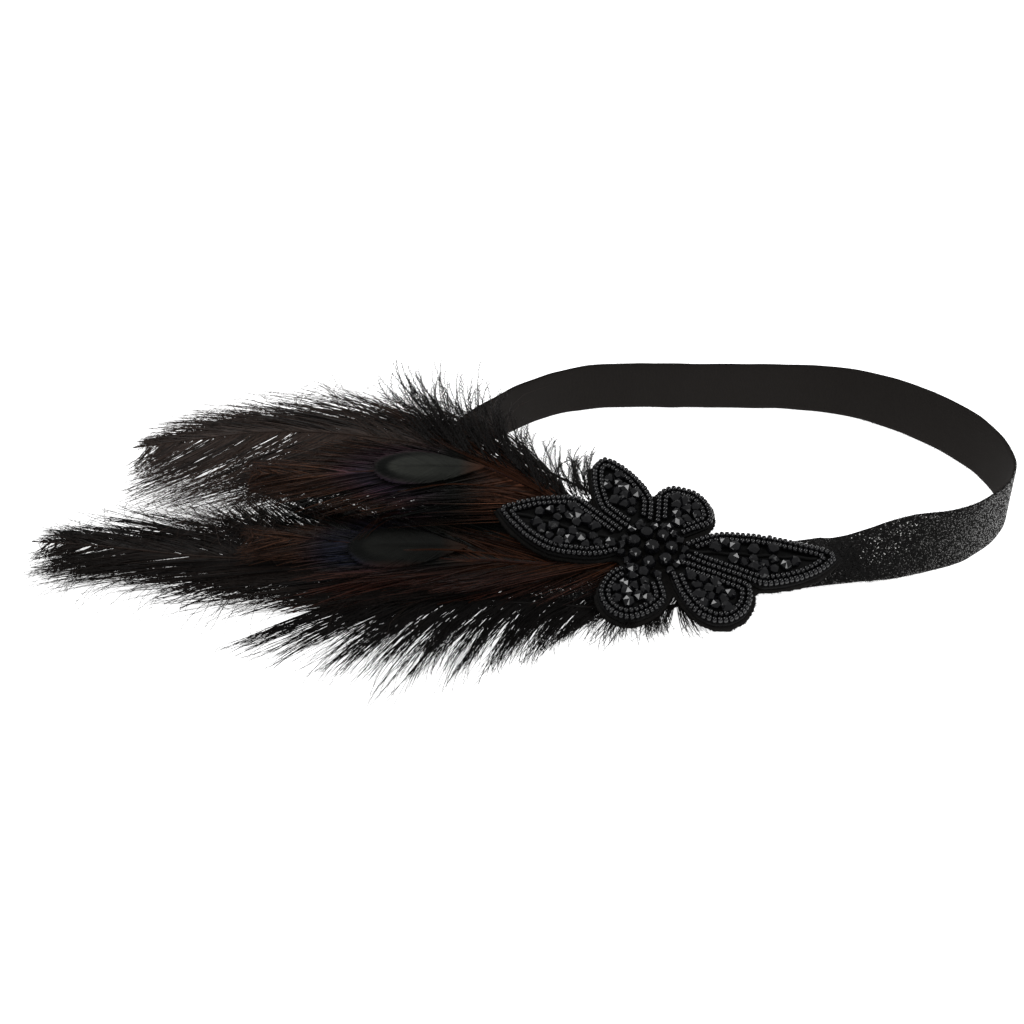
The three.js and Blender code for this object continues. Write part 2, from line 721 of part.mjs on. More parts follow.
function fringe(kind, height, length, rise) {
  const curve = quillCurve({ ...kind, height }, peacockReach);
  const fine = curve.getPoints(fineSteps);
  const thin = () => quillSize * fringeQuill;
  const solids = [taperedStrip(curve.getPoints(quillSteps), thin, thin)];
  for (const row of kind.locks) {
    const root = atOut(fine, row.from * peacockReach);
    const tip = root.clone();
    tip.x -= row.left * length;
    tip.y += row.back * length;
    tip.z += row.rise * rise;
    solids.push(lock(root, tip, fringeLockWidth, fringeSteps));
  }
  return named(kind.name, geometryOf(fused(solids)), plumage);
}

const flower = new THREE.Group();
flower.position.copy(flowerCentre);
flower.rotation.x = flowerTilt;
flower.add(makeFelt(), ...petals.map(makePetal), ...makeRosette());

const feathers = [
  ...longPlumes.map((kind) => feather(kind, plumeReach, plumeVane, plumeLockWidth, () => [])),
  ...peacockFeathers.map((kind) =>
    feather(kind, peacockReach, peacockVane, peacockLockWidth, (fine) => [eye(kind, fine)])),
  fringe(backFringe, crestHeight, backFringeLength, backFringeRise),
  fringe(frontFringe, lowFeatherHeight, frontFringeLength, lowFeatherHeight),
];

// The whole stands on the surface, with the origin under the middle of its box
const whole = new THREE.Group();
whole.add(makeBand(), flower, ...feathers);
const extent = new THREE.Box3().setFromObject(whole, true);
const middle = extent.getCenter(new THREE.Vector3());
whole.position.set(-middle.x, -middle.y, -extent.min.z);

const headband = new THREE.Group();
headband.add(whole);

export default headband;
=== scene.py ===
"""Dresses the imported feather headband: velvet ribbon, beaded felt flower, plumes and fringes."""
import math

import bpy
import numpy as np
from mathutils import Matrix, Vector, noise


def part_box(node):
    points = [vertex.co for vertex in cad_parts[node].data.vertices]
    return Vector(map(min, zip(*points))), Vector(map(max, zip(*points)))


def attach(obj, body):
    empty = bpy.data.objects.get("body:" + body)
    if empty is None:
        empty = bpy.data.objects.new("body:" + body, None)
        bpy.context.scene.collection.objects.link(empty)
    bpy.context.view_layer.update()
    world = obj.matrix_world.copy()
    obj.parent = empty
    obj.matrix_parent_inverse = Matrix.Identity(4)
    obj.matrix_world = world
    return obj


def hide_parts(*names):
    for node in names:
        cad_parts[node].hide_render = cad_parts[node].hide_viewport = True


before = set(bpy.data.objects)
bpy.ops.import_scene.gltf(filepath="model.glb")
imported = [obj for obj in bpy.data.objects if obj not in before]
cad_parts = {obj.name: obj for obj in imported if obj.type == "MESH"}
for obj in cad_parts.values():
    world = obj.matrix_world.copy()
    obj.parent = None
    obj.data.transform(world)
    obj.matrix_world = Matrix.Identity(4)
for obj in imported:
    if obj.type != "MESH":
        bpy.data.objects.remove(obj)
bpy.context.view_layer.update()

MM = 0.001
FLOOR_ROOM = 0.02
UP = np.array([0.0, 0.0, 1.0])

# Places shared with the solids, in mm
TILT = math.radians(16)
NORMAL = np.array([0.0, -math.sin(TILT), math.cos(TILT)])
BEAD_LEVEL = 0.352
CENTRE = sum(np.array(corner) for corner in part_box("center_bead")) / 2 / MM - BEAD_LEVEL * NORMAL
CENTRE_FROM_LOOP = np.array([-27.2, -57.6, 13.0])
LOOP = CENTRE - CENTRE_FROM_LOOP

FLOWER_LENGTH = 112
PAD_TOP, PAD_BOTTOM, RIM_TOP = -0.8, -2.0, 0.9
FELT_TOP, GAP = -2.3, 0.3
QUILL_LEVEL, RIBBON_LEVEL = -5.0, -6.95
RIM_WIDTH, STONE_SIZE, STONE_PITCH, VEIN_WIDTH = 4.6, 3.6, 3.9, 1.2
ROSETTE_RADIUS, CENTRE_BEAD, ROSETTE_BEAD = 6.3, 5.6, 4.9

# Camera, at the photograph's angle
LENS, SENSOR, CAMERA_TILT = 49.2, 36, math.radians(57)
CAMERA_FROM_LOOP = np.array([-73.0, -435.3, 272.3])
camera_data = bpy.data.cameras.new("camera")
camera_data.lens, camera_data.sensor_width = LENS, SENSOR
camera = bpy.data.objects.new("camera", camera_data)
camera.location = (LOOP + CAMERA_FROM_LOOP) * MM
camera.rotation_euler = (CAMERA_TILT, 0, 0)
bpy.context.scene.collection.objects.link(camera)
bpy.context.scene.camera = camera


# Small geometry tools
def unit(v):
    return v / np.maximum(np.linalg.norm(v, axis=-1, keepdims=True), 1e-9)


def on_flower(right, up, level):
    """Points of the flower's plane in the frame, in mm."""
    right, up, level = np.broadcast_arrays(right, up, level)
    y = up * math.cos(TILT) - level * math.sin(TILT)
    z = up * math.sin(TILT) + level * math.cos(TILT)
    return np.stack([right, y, z], axis=-1) + CENTRE


def smooth_run(points, count):
    """A centripetal spline through points."""
    p = np.array(points, float)
    p = np.vstack([2 * p[0] - p[1], p, 2 * p[-1] - p[-2]])
    knots = np.concatenate([[0], np.cumsum(np.linalg.norm(np.diff(p, axis=0), axis=1) ** 0.5)])
    t = np.linspace(knots[1], knots[-2], count)
    i = np.clip(np.searchsorted(knots, t, side="right") - 1, 1, len(p) - 3)

    def mix(a, b, ja, jb):
        share = ((t - knots[i + ja]) / (knots[i + jb] - knots[i + ja]))[:, None]
        return a * (1 - share) + b * share

    a1 = mix(p[i - 1], p[i], -1, 0)
    a2 = mix(p[i], p[i + 1], 0, 1)
    a3 = mix(p[i + 1], p[i + 2], 1, 2)
    return mix(mix(a1, a2, -1, 1), mix(a2, a3, 0, 2), 0, 1)


def plain_run(points, steps, closed=False):
    """A uniform spline through points, open or closed."""
    p = np.array(points, float)
    count = len(p)
    t = (np.arange(steps) / steps)[:, None]
    out = []
    for i in range(count if closed else count - 1):
        picks = [(i + k) % count if closed else min(max(i + k, 0), count - 1) for k in (-1, 0, 1, 2)]
        a, b, c, d = p[picks]
        out.append(0.5 * (2 * b + (c - a) * t + (2 * a - 5 * b + 4 * c - d) * t**2
                          + (3 * b - a - 3 * c + d) * t**3))
    if not closed:
        out.append(p[-1:])
    return np.vstack(out)


def resample(points, pitch):
    """Evenly spaced points round a closed run."""
    ring = np.vstack([points, points[:1]])
    far = np.concatenate([[0], np.cumsum(np.linalg.norm(np.diff(ring, axis=0), axis=1))])
    count = max(3, int(round(far[-1] / pitch)))
    at = np.arange(count) * far[-1] / count
    return np.stack([np.interp(at, far, ring[:, k]) for k in range(ring.shape[1])], axis=1)


class Shape:
    """Points, faces, tints and shading that end as one mesh piece."""

    def __init__(self):
        self.points, self.tints, self.loops, self.sizes = [], [], [], []
        self.smooth, self.slots, self.uvs = [], [], []
        self.count = 0

    def add(self, points, *faces, tint=(0.01, 0.01, 0.01), smooth=True, slot=0):
        """Adds points, and faces that count from the first of them."""
        points = np.asarray(points, float).reshape(-1, 3)
        self.points.append(points)
        self.tints.append(np.broadcast_to(np.asarray(tint, float).reshape(-1, 3), points.shape))
        for group in faces:
            group = np.asarray(group, int)
            self.add_faces(group + self.count, np.zeros((group.size, 2)), smooth, slot)
        self.count += len(points)

    def add_faces(self, group, uvs, smooth=True, slot=0):
        """Adds faces between the shape's points, with a place on the texture for each corner."""
        self.loops.append(group.ravel())
        self.sizes.append(np.full(len(group), group.shape[1]))
        self.smooth.append(np.full(len(group), smooth))
        self.slots.append(np.full(len(group), slot))
        self.uvs.append(uvs)

    def piece(self, name, materials, replaced):
        mesh = bpy.data.meshes.new(name)
        points = np.vstack(self.points)
        points[:, 2] = np.maximum(points[:, 2], FLOOR_ROOM)
        loops = np.concatenate(self.loops)
        sizes = np.concatenate(self.sizes)
        mesh.vertices.add(len(points))
        mesh.vertices.foreach_set("co", (points * MM).astype(np.float32).ravel())
        mesh.loops.add(len(loops))
        mesh.loops.foreach_set("vertex_index", loops.astype(np.int32))
        mesh.polygons.add(len(sizes))
        mesh.polygons.foreach_set("loop_start", (np.cumsum(sizes) - sizes).astype(np.int32))
        for material in materials:
            mesh.materials.append(material)
        mesh.polygons.foreach_set("material_index", np.concatenate(self.slots).astype(np.int32))
        mesh.polygons.foreach_set("use_smooth", np.concatenate(self.smooth))
        mesh.uv_layers.new(name="UVMap").data.foreach_set("uv", np.vstack(self.uvs).ravel())
        tint = mesh.color_attributes.new(name="tint", type="FLOAT_COLOR", domain="POINT")
        tints = np.vstack(self.tints)
        tint.data.foreach_set("color", np.hstack([tints, np.ones((len(tints), 1))]).ravel())
        mesh.update(calc_edges=True)
        mesh.validate()
        obj = bpy.data.objects.new(name, mesh)
        bpy.context.scene.collection.objects.link(obj)
        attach(obj, "root")
        if replaced:
            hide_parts(*replaced)
        return obj


def cross_axes(ahead):
    side = unit(np.cross(ahead, UP) + 1e-6)
    return side, np.cross(side, ahead)


def tubes(paths, widths, sides=3, flat=1.0):
    """Closed tapered tubes along many paths of equal length: points and faces."""
    count, steps, _ = paths.shape
    side, top = cross_axes(unit(np.gradient(paths, axis=1)))
    turn = math.pi / 2 + 2 * math.pi * np.arange(sides) / sides
    ring = (side[:, :, None] * np.cos(turn)[:, None]
            + top[:, :, None] * (np.sin(turn) * flat)[:, None])
    points = paths[:, :, None] + ring * (widths / 2)[:, :, None, None]
    index = np.arange(count * steps * sides).reshape(count, steps, sides)
    after = np.roll(index, -1, axis=2)
    quads = np.stack([index[:, :-1], index[:, 1:], after[:, 1:], after[:, :-1]], axis=-1)
    return points.reshape(-1, 3), quads.reshape(-1, 4), index[:, 0], index[:, -1, ::-1]


def spikes(roots, ways, lengths, width):
    """Fine pointed hairs: points and faces."""
    ahead = unit(ways)
    side, top = cross_axes(ahead)
    turn = math.pi / 2 + 2 * math.pi * np.arange(3) / 3
    ring = side[:, None] * np.cos(turn)[:, None] + top[:, None] * np.sin(turn)[:, None]
    base = roots[:, None] + ring * width / 2
    tips = roots + ahead * np.asarray(lengths)[:, None]
    points = np.concatenate([base, tips[:, None]], axis=1)
    index = np.arange(len(roots) * 4).reshape(-1, 4)
    sides = np.concatenate([index[:, [j, 3, (j + 1) % 3]] for j in range(3)])
    return points.reshape(-1, 3), index[:, :3], sides


# Materials
class Finish:
    """A material with a few named nodes round its Principled shader."""

    def __init__(self, name, **sockets):
        self.material = bpy.data.materials.new(name)
        self.material.use_nodes = True
        self.tree = self.material.node_tree
        self.surface = self.tree.nodes["Principled BSDF"]
        for socket, value in sockets.items():
            self.surface.inputs[socket.replace("_", " ")].default_value = value

    def node(self, kind, settings=None, **sockets):
        node = self.tree.nodes.new(kind)
        for key, value in (settings or {}).items():
            setattr(node, key, value)
        for socket, value in sockets.items():
            target = node.inputs[int(socket[1:]) if socket[1:].isdigit() else socket.replace("_", " ")]
            if isinstance(value, bpy.types.NodeSocket):
                self.tree.links.new(value, target)
            else:
                target.default_value = value
        return node

    def join(self, output, socket):
        self.tree.links.new(output, self.surface.inputs[socket])

    def grain(self, scale, detail=3.0, vector=None):
        if vector is None:
            vector = self.node("ShaderNodeTexCoord").outputs["Object"]
        return self.node("ShaderNodeTexNoise", Vector=vector, Scale=scale, Detail=detail)

    def spread(self, value, low, high):
        """A value from 0 to 1 mapped to a range."""
        return self.node("ShaderNodeMapRange", Value=value, To_Min=low, To_Max=high).outputs[0]

    def bump(self, height, strength, distance):
        bump = self.node("ShaderNodeBump", Height=height, Strength=strength, Distance=distance)
        self.join(bump.outputs[0], "Normal")

    def blend(self, share, a, b):
        return self.node("ShaderNodeMix", {"data_type": "RGBA"}, i0=share, i6=a, i7=b).outputs[2]


def tinted_finish(name, low, high, scale, **sockets):
    """Colour from the mesh's tint, varied by a fine grain."""
    made = Finish(name, **sockets)
    tint = made.node("ShaderNodeVertexColor", {"layer_name": "tint"}).outputs[0]
    share = made.spread(made.grain(scale).outputs[0], low, high)
    scaled = made.node("ShaderNodeVectorMath", {"operation": "SCALE"}, i0=tint, Scale=share)
    made.join(scaled.outputs[0], "Base Color")
    return made


plume_finish = tinted_finish("plume_barbs", 0.5, 1.5, 900, Roughness=0.5, Specular_IOR_Level=0.1)
peacock_finish = tinted_finish("peacock_barbs", 0.6, 1.4, 700, Roughness=0.38, Specular_IOR_Level=0.12)
eye_finish = tinted_finish("peacock_eye", 0.75, 1.25, 900, Roughness=0.6, Specular_IOR_Level=0.06)
eye_place = eye_finish.node("ShaderNodeTexCoord").outputs["Object"]
eye_lines = eye_finish.node("ShaderNodeMapping", i0=eye_place, i3=(500, 3500, 500)).outputs[0]
eye_finish.bump(eye_finish.grain(1.0, 2.0, eye_lines).outputs[0], 0.5, 0.0002)

glass = Finish("black_glass", Roughness=0.07, Base_Color=(0.004, 0.004, 0.005, 1))
glass_wear = glass.grain(400)
glass.join(glass.spread(glass_wear.outputs[0], 0.03, 0.16), "Roughness")
glass.bump(glass_wear.outputs[0], 0.15, 0.0001)

thread = Finish("black_thread", Roughness=0.8, Specular_IOR_Level=0.12)
thread_grain = thread.grain(2500)
thread.join(thread.blend(thread_grain.outputs[0], (0.0015, 0.0015, 0.0015, 1), (0.007, 0.007, 0.007, 1)),
            "Base Color")
thread.bump(thread_grain.outputs[0], 0.6, 0.0002)

felt = Finish("black_felt", Roughness=0.95, Specular_IOR_Level=0.1)
felt_grain = felt.grain(1500, 5.0)
felt.join(felt.blend(felt_grain.outputs[0], (0.0025, 0.0025, 0.0025, 1), (0.014, 0.013, 0.012, 1)),
          "Base Color")
felt.bump(felt_grain.outputs[0], 0.8, 0.0004)

FLAKE_SCALE, PLAIN_SHARE = 3.4, 0.78
glitter = Finish("ribbon_glitter", Specular_IOR_Level=0.15)
flake_uv = glitter.node("ShaderNodeTexCoord").outputs["UV"]
flakes = glitter.node("ShaderNodeTexVoronoi", Vector=flake_uv, Scale=FLAKE_SCALE)
flake_random = glitter.node("ShaderNodeSeparateColor", Color=flakes.outputs["Color"])
is_flake = glitter.node("ShaderNodeMath", {"operation": "GREATER_THAN"},
                        i0=flake_random.outputs[0], i1=PLAIN_SHARE).outputs[0]
glitter.join(glitter.blend(is_flake, (0.004, 0.0037, 0.0035, 1), (0.095, 0.093, 0.091, 1)), "Base Color")
glitter.join(is_flake, "Metallic")
glitter.join(glitter.spread(is_flake, 0.9, 0.22), "Roughness")
flake_lean = glitter.node("ShaderNodeVectorMath", {"operation": "SUBTRACT"},
                          i0=flakes.outputs["Color"], i1=(0.5, 0.5, 0.5)).outputs[0]
flake_turn = glitter.node("ShaderNodeVectorMath", {"operation": "SCALE"}, i0=flake_lean, Scale=1.5)
flake_way = glitter.node("ShaderNodeVectorMath", {"operation": "ADD"}, i0=flake_turn.outputs[0],
                         i1=glitter.node("ShaderNodeNewGeometry").outputs["Normal"]).outputs[0]
flake_normal = glitter.node("ShaderNodeVectorMath", {"operation": "NORMALIZE"}, i0=flake_way)
glitter.join(flake_normal.outputs[0], "Normal")

weave = Finish("ribbon_weave", Roughness=0.9, Specular_IOR_Level=0.15)
weave_uv = weave.node("ShaderNodeTexCoord").outputs["UV"]
ribs = weave.node("ShaderNodeTexWave", Vector=weave_uv, Scale=0.55, Distortion=1.2, Detail=2.0)
weave_grain = weave.grain(3.0, 4.0, weave_uv)
weave.join(weave.blend(weave_grain.outputs[0], (0.0055, 0.0045, 0.004, 1), (0.017, 0.0145, 0.013, 1)),
           "Base Color")
weave_mix = weave.node("ShaderNodeMath", {"operation": "ADD"}, i0=ribs.outputs[1], i1=weave_grain.outputs[0])
weave.bump(weave_mix.outputs[0], 0.5, 0.00015)

# The ribbon
LOOP_WIDTH, LOOP_DEPTH, RIBBON_WIDTH, RIBBON_THICKNESS = 207, 122, 20, 1.5
RUN_STEPS, PILE_COUNT, PILE_WIDTH = 14, 2600, 0.12

# The ribbon's free run as shares of half the loop's width and depth, with its lean in degrees, and its
# sewn run as shares of the flower's length
FREE_RIBBON = [
    (0.415, -0.83, 70), (0.51, -0.815, 54), (0.61, -0.805, 31), (0.705, -0.78, 15),
    (0.79, -0.707, 9), (0.88, -0.58, 5), (0.965, -0.39, 0), (1, -0.14, -5), (0.985, 0.13, -10),
    (0.93, 0.37, -15), (0.84, 0.59, -17), (0.72, 0.78, -14), (0.57, 0.92, -8), (0.38, 0.985, -2),
    (0.17, 1, 0), (-0.04, 1.005, 0), (-0.23, 1.01, 0), (-0.4, 0.985, 0), (-0.55, 0.885, 3),
    (-0.68, 0.72, 3), (-0.79, 0.53, 6), (-0.89, 0.34, 12), (-0.955, 0.11, 22), (-0.96, -0.15, 35),
    (-0.9, -0.42, 48), (-0.78, -0.68, 60),
]
SEWN_RIBBON = [(-0.36, -0.05), (-0.14, -0.052), (0.07, -0.047), (0.25, -0.036), (0.4, -0.016), (0.53, 0.003)]


def standing(lean):
    """The height of the ribbon's middle when its lower edge rests on the floor."""
    return (RIBBON_WIDTH / 2) * np.cos(lean) + (RIBBON_THICKNESS / 2) * np.abs(np.sin(lean))


def add_pile(shape, place, way, rise, face):
    """Short hairs along both edges of the ribbon."""
    rng = np.random.default_rng(5)
    edge = rng.choice((-1, 1), PILE_COUNT)
    at = rng.integers(0, len(place), PILE_COUNT)
    high = edge * RIBBON_WIDTH / 2 * rng.uniform(0.975, 0.995, PILE_COUNT)
    roots = (place[at] + rise[at] * high[:, None] + way[at] * rng.uniform(-1, 1, (PILE_COUNT, 1))
             + face[at] * rng.uniform(0, 0.5, (PILE_COUNT, 1)))
    ways = rise[at] * edge[:, None] + rng.normal(0, 0.6, (PILE_COUNT, 3))
    shape.add(*spikes(roots, ways, rng.uniform(0.25, 0.6, PILE_COUNT), PILE_WIDTH), slot=1)


def make_ribbon():
    """The ribbon's loop: glitter outside and weave inside, with slow waves towards its edges."""
    rows = [[a * LOOP_WIDTH / 2, d * LOOP_DEPTH / 2, math.radians(lean), 0] for a, d, lean in FREE_RIBBON]
    sewn_lean = math.pi / 2 - TILT
    for right, up in SEWN_RIBBON:
        x, y, z = on_flower(right * FLOWER_LENGTH, up * FLOWER_LENGTH, RIBBON_LEVEL) - LOOP
        rows.append([x, y, sewn_lean, z - standing(sewn_lean)])
    run = plain_run(rows, RUN_STEPS, closed=True)
    x, y, lean, lift = run.T
    place = np.stack([x, y, standing(lean) + np.maximum(lift, 0)], axis=1) + LOOP
    way = np.roll(run[:, :2], -1, axis=0) - np.roll(run[:, :2], 1, axis=0)
    way = unit(np.hstack([way, np.zeros((len(way), 1))]))
    inward = np.stack([-way[:, 1], way[:, 0], np.zeros(len(way))], axis=1)
    rise = UP * np.cos(lean)[:, None] + inward * np.sin(lean)[:, None]
    face = np.cross(rise, way)
    far = np.concatenate([[0], np.cumsum(np.linalg.norm(np.diff(place, axis=0), axis=1))])
    girth = far[-1] + np.linalg.norm(place[0] - place[-1])
    across = np.array([-1, -0.975, -0.85, -0.45, 0, 0.45, 0.85, 0.975, 1])
    thick = np.array([0, 0.72, 1, 1, 1, 1, 1, 0.72, 0])
    ring = list(zip(across, -thick)) + list(zip(across[-2:0:-1], thick[-2:0:-1]))
    turn = 2 * math.pi * far / girth
    points = np.empty((len(place), len(ring), 3))
    for k, (w, t) in enumerate(ring):
        wave = 0.25 * np.sin(31 * turn + 2 * w) + 0.2 * np.sin(17 * turn + 1.3) * w
        edge = 0.12 * np.sin(43 * turn) + 0.1 * np.sin(71 * turn + w)
        inset = (w * RIBBON_WIDTH / 2) * (1 - 0.01 * (1 + edge * abs(w)))
        points[:, k] = (place + rise * inset[:, None]
                        + face * (t * 0.4 * RIBBON_THICKNESS + wave * abs(w) * 0.5)[:, None])
    count, sides = len(place), len(ring)
    index = np.arange(count * sides).reshape(count, sides)
    after, beyond = np.roll(index, -1, axis=0), np.roll(index, -1, axis=1)
    corner = np.roll(after, -1, axis=1)
    quads = np.stack([index, beyond, corner, after], axis=-1)
    lengths = np.append(far, girth)
    v = np.array([w * RIBBON_WIDTH / 2 for w, _ in ring])
    shape = Shape()
    outer = np.arange(sides) < len(across) - 1
    shape.add(points)
    u_of = np.stack([lengths[:-1], lengths[:-1], lengths[1:], lengths[1:]], axis=-1)
    for slot, mask in ((0, outer), (1, ~outer)):
        picked = quads[:, mask].reshape(-1, 4)
        us = np.broadcast_to(u_of[:, None], (count, mask.sum(), 4)).reshape(-1)
        vs = np.stack([v, np.roll(v, -1), np.roll(v, -1), v], axis=-1)[mask]
        vs = np.broadcast_to(vs[None], (count, mask.sum(), 4)).reshape(-1)
        shape.add_faces(picked, np.stack([us, vs], axis=1), slot=slot)
    add_pile(shape, place, way, rise, face)
    ribbon = shape.piece("ribbon_loop", [glitter.material, weave.material], ["elastic_band"])


make_ribbon()

# The felt backing
FELT_VOXEL, FELT_HAIRS, FELT_HAIR_WIDTH, FELT_PIECE = 0.9, 3200, 0.07, (0.115, 0.075)


def make_felt():
    rough = bpy.data.objects.new("felt_rough", bpy.data.objects["felt_backing"].data.copy())
    bpy.context.scene.collection.objects.link(rough)
    remesh = rough.modifiers.new("remesh", "REMESH")
    remesh.mode = "VOXEL"
    remesh.voxel_size = FELT_VOXEL * MM
    ready = rough.evaluated_get(bpy.context.evaluated_depsgraph_get())
    mesh = bpy.data.meshes.new_from_object(ready)
    bpy.data.objects.remove(rough)
    co, normals = np.empty((2, len(mesh.vertices) * 3), np.float32)
    mesh.vertices.foreach_get("co", co)
    mesh.vertices.foreach_get("normal", normals)
    co, normals = co.reshape(-1, 3) / MM, normals.reshape(-1, 3)
    push = np.array([noise.noise(Vector(p) * 0.9) * 0.12 + noise.noise(Vector(p) * 0.25) * 0.1 for p in co])
    points = co + normals * push[:, None]
    loops = np.empty(len(mesh.loops), np.int32)
    mesh.loops.foreach_get("vertex_index", loops)
    shape = Shape()
    shape.add(points, loops.reshape(-1, 4))
    rng = np.random.default_rng(11)
    rim = np.nonzero(np.abs(normals @ NORMAL) < 0.5)[0]
    picks = rng.choice(rim, FELT_HAIRS)
    ways = normals[picks] + rng.normal(0, 0.55, (FELT_HAIRS, 3))
    shape.add(*spikes(points[picks] - 0.1 * normals[picks], ways, rng.uniform(0.3, 0.9, FELT_HAIRS),
                      FELT_HAIR_WIDTH))
    felt_sheet = shape.piece("felt_sheet", [felt.material], ["felt_backing"])


make_felt()

# The petals

# The way each petal points in degrees, its reach and width as shares of the flower's length, whether it
# has a vein, and its sections: out, left and right
PETAL_TABLE = [
    ("left_leaf", 160.7, 0.482, 0.232, True,
     [(0.17, 0.17, 0.2), (0.3, 0.36, 0.43), (0.46, 0.45, 0.53), (0.6, 0.47, 0.51), (0.76, 0.36, 0.38),
      (0.9, 0.18, 0.19), (1, 0, 0)]),
    ("top_petal", 109, 0.388, 0.17, False,
     [(0.21, 0.22, 0.2), (0.4, 0.5, 0.45), (0.58, 0.51, 0.46), (0.75, 0.44, 0.37), (0.92, 0.28, 0.18),
      (1, 0.03, 0)]),
    ("top_right_petal", 57, 0.268, 0.205, False,
     [(0.31, 0.2, 0.2), (0.5, 0.4, 0.42), (0.7, 0.46, 0.5), (0.86, 0.4, 0.38), (0.96, 0.24, 0.2), (1, 0, 0)]),
    ("right_leaf", -4.5, 0.545, 0.196, True,
     [(0.151, 0.12, 0.1), (0.34, 0.38, 0.42), (0.5, 0.4, 0.58), (0.65, 0.37, 0.56), (0.8, 0.28, 0.42),
      (0.92, 0.2, 0.2), (1, 0.06, -0.06)]),
    ("bottom_right_petal", -45, 0.344, 0.196, False,
     [(0.24, 0.12, 0.12), (0.42, 0.36, 0.32), (0.6, 0.53, 0.44), (0.75, 0.58, 0.47), (0.88, 0.46, 0.4),
      (0.97, 0.24, 0.22), (1, 0, 0)]),
    ("bottom_left_petal", -112, 0.277, 0.1875, False,
     [(0.3, 0.28, 0.28), (0.45, 0.5, 0.46), (0.6, 0.52, 0.51), (0.76, 0.44, 0.5), (0.9, 0.28, 0.36),
      (0.97, 0.14, 0.2), (1, 0, 0)]),
]
PETALS = [(name, way, reach * FLOWER_LENGTH, width * FLOWER_LENGTH, veined, sections)
          for name, way, reach, width, veined, sections in PETAL_TABLE]


def turned(points, degrees):
    c, s = math.cos(math.radians(degrees)), math.sin(math.radians(degrees))
    return points @ np.array([[c, s], [-s, c]])


def room_beside(way, sign, out):
    """Half the room to the next petal on one side, at distances out from the centre."""
    turns = [(sign * (other[1] - way)) % 360 for other in PETALS]
    half = math.radians(min(t for t in turns if t > 0) / 2)
    if half > math.pi / 2:
        return np.full_like(out, 1e3)
    return np.maximum(out * math.tan(half) - GAP / 2 / math.cos(half), 0.5)


def petal_outline(petal):
    """The petal's edge in its own axes, out from the flower's centre and to the left."""
    _, way, reach, width, _, sections = petal
    sides = []
    for column, sign in ((2, -1), (1, 1)):
        run = plain_run([(row[0] * reach, row[column] * width) for row in sections], 8)
        run[:, 1] = sign * np.minimum(run[:, 1], room_beside(way, sign, run[:, 0]))
        sides.append(run)
    return resample(np.vstack([sides[0], sides[1][-2::-1]]), 0.7)


def drawn_in(outline, depth):
    """The outline moved inwards, without the parts that would cross themselves."""
    ahead = unit(np.roll(outline, -1, axis=0) - np.roll(outline, 1, axis=0))
    moved = outline + depth * np.stack([-ahead[:, 1], ahead[:, 0]], axis=1)
    clear = np.linalg.norm(moved[:, None] - outline[None], axis=2).min(axis=1) > depth - 0.12
    kept = moved[clear]
    for _ in range(3):
        kept = (np.roll(kept, 1, axis=0) + 2 * kept + np.roll(kept, -1, axis=0)) / 4
    return kept


def seed_bead(length, size, sides=10):
    """A rounded bead on the X axis: points and faces."""
    profile = [(-0.5, 0.3), (-0.46, 0.36), (-0.3, 0.47), (0, 0.5), (0.3, 0.47), (0.46, 0.36), (0.5, 0.3)]
    turn = 2 * math.pi * np.arange(sides) / sides
    points = np.array([[x * length, r * size * math.cos(a), r * size * math.sin(a)]
                       for x, r in profile for a in turn])
    index = np.arange(len(points)).reshape(-1, sides)
    after = np.roll(index, -1, axis=1)
    quads = np.stack([index[:-1], after[:-1], after[1:], index[1:]], axis=-1).reshape(-1, 4)
    return points, quads[:, ::-1], index[:1], index[-1:, ::-1]


def cut_rows(rows, sides):
    """Rows of (level, radius) round the Z axis, joined by staggered facets: points and faces."""
    points = []
    for i, (level, radius) in enumerate(rows):
        turn = 2 * math.pi * (np.arange(sides) + (i % 2) / 2) / sides
        points.append(np.stack([radius * np.cos(turn), radius * np.sin(turn), np.full(sides, level)], axis=1))
    index = np.arange(sides * len(rows)).reshape(-1, sides)
    after = np.roll(index, -1, axis=1)
    triangles = []
    for i in range(len(rows) - 1):
        low, low_after, high, high_after = index[i], after[i], index[i + 1], after[i + 1]
        if i % 2:
            triangles += [(low, low_after, high_after), (low, high_after, high)]
        else:
            triangles += [(low, low_after, high), (low_after, high_after, high)]
    triangles = [np.stack(corners, axis=-1) for corners in triangles]
    return np.vstack(points), np.concatenate(triangles), index[:1, ::-1], index[-1:]


def cut_stone(size, length):
    """A bicone stone with cut ends, lying on the X axis: points and faces."""
    points, *faces = cut_rows([(x * length, radius * size)
                               for x, radius in ((-0.5, 0.16), (-0.16, 0.47), (0.16, 0.47), (0.5, 0.16))], 6)
    return points[:, [2, 0, 1]], *faces


def placed(shape, made, axes, place, **looks):
    points, *faces = made
    shape.add(points @ np.array(axes) + place, *faces, **looks)


def inside(points, outline):
    """Which points lie inside a closed run."""
    x, y = points[:, 0, None], points[:, 1, None]
    ax, ay = outline.T
    bx, by = np.roll(outline, -1, axis=0).T
    crosses = (ay > y) != (by > y)
    at = ax + (bx - ax) * (y - ay) / np.where(by == ay, 1e-9, by - ay)
    return (crosses & (x < at)).sum(axis=1) % 2 == 1


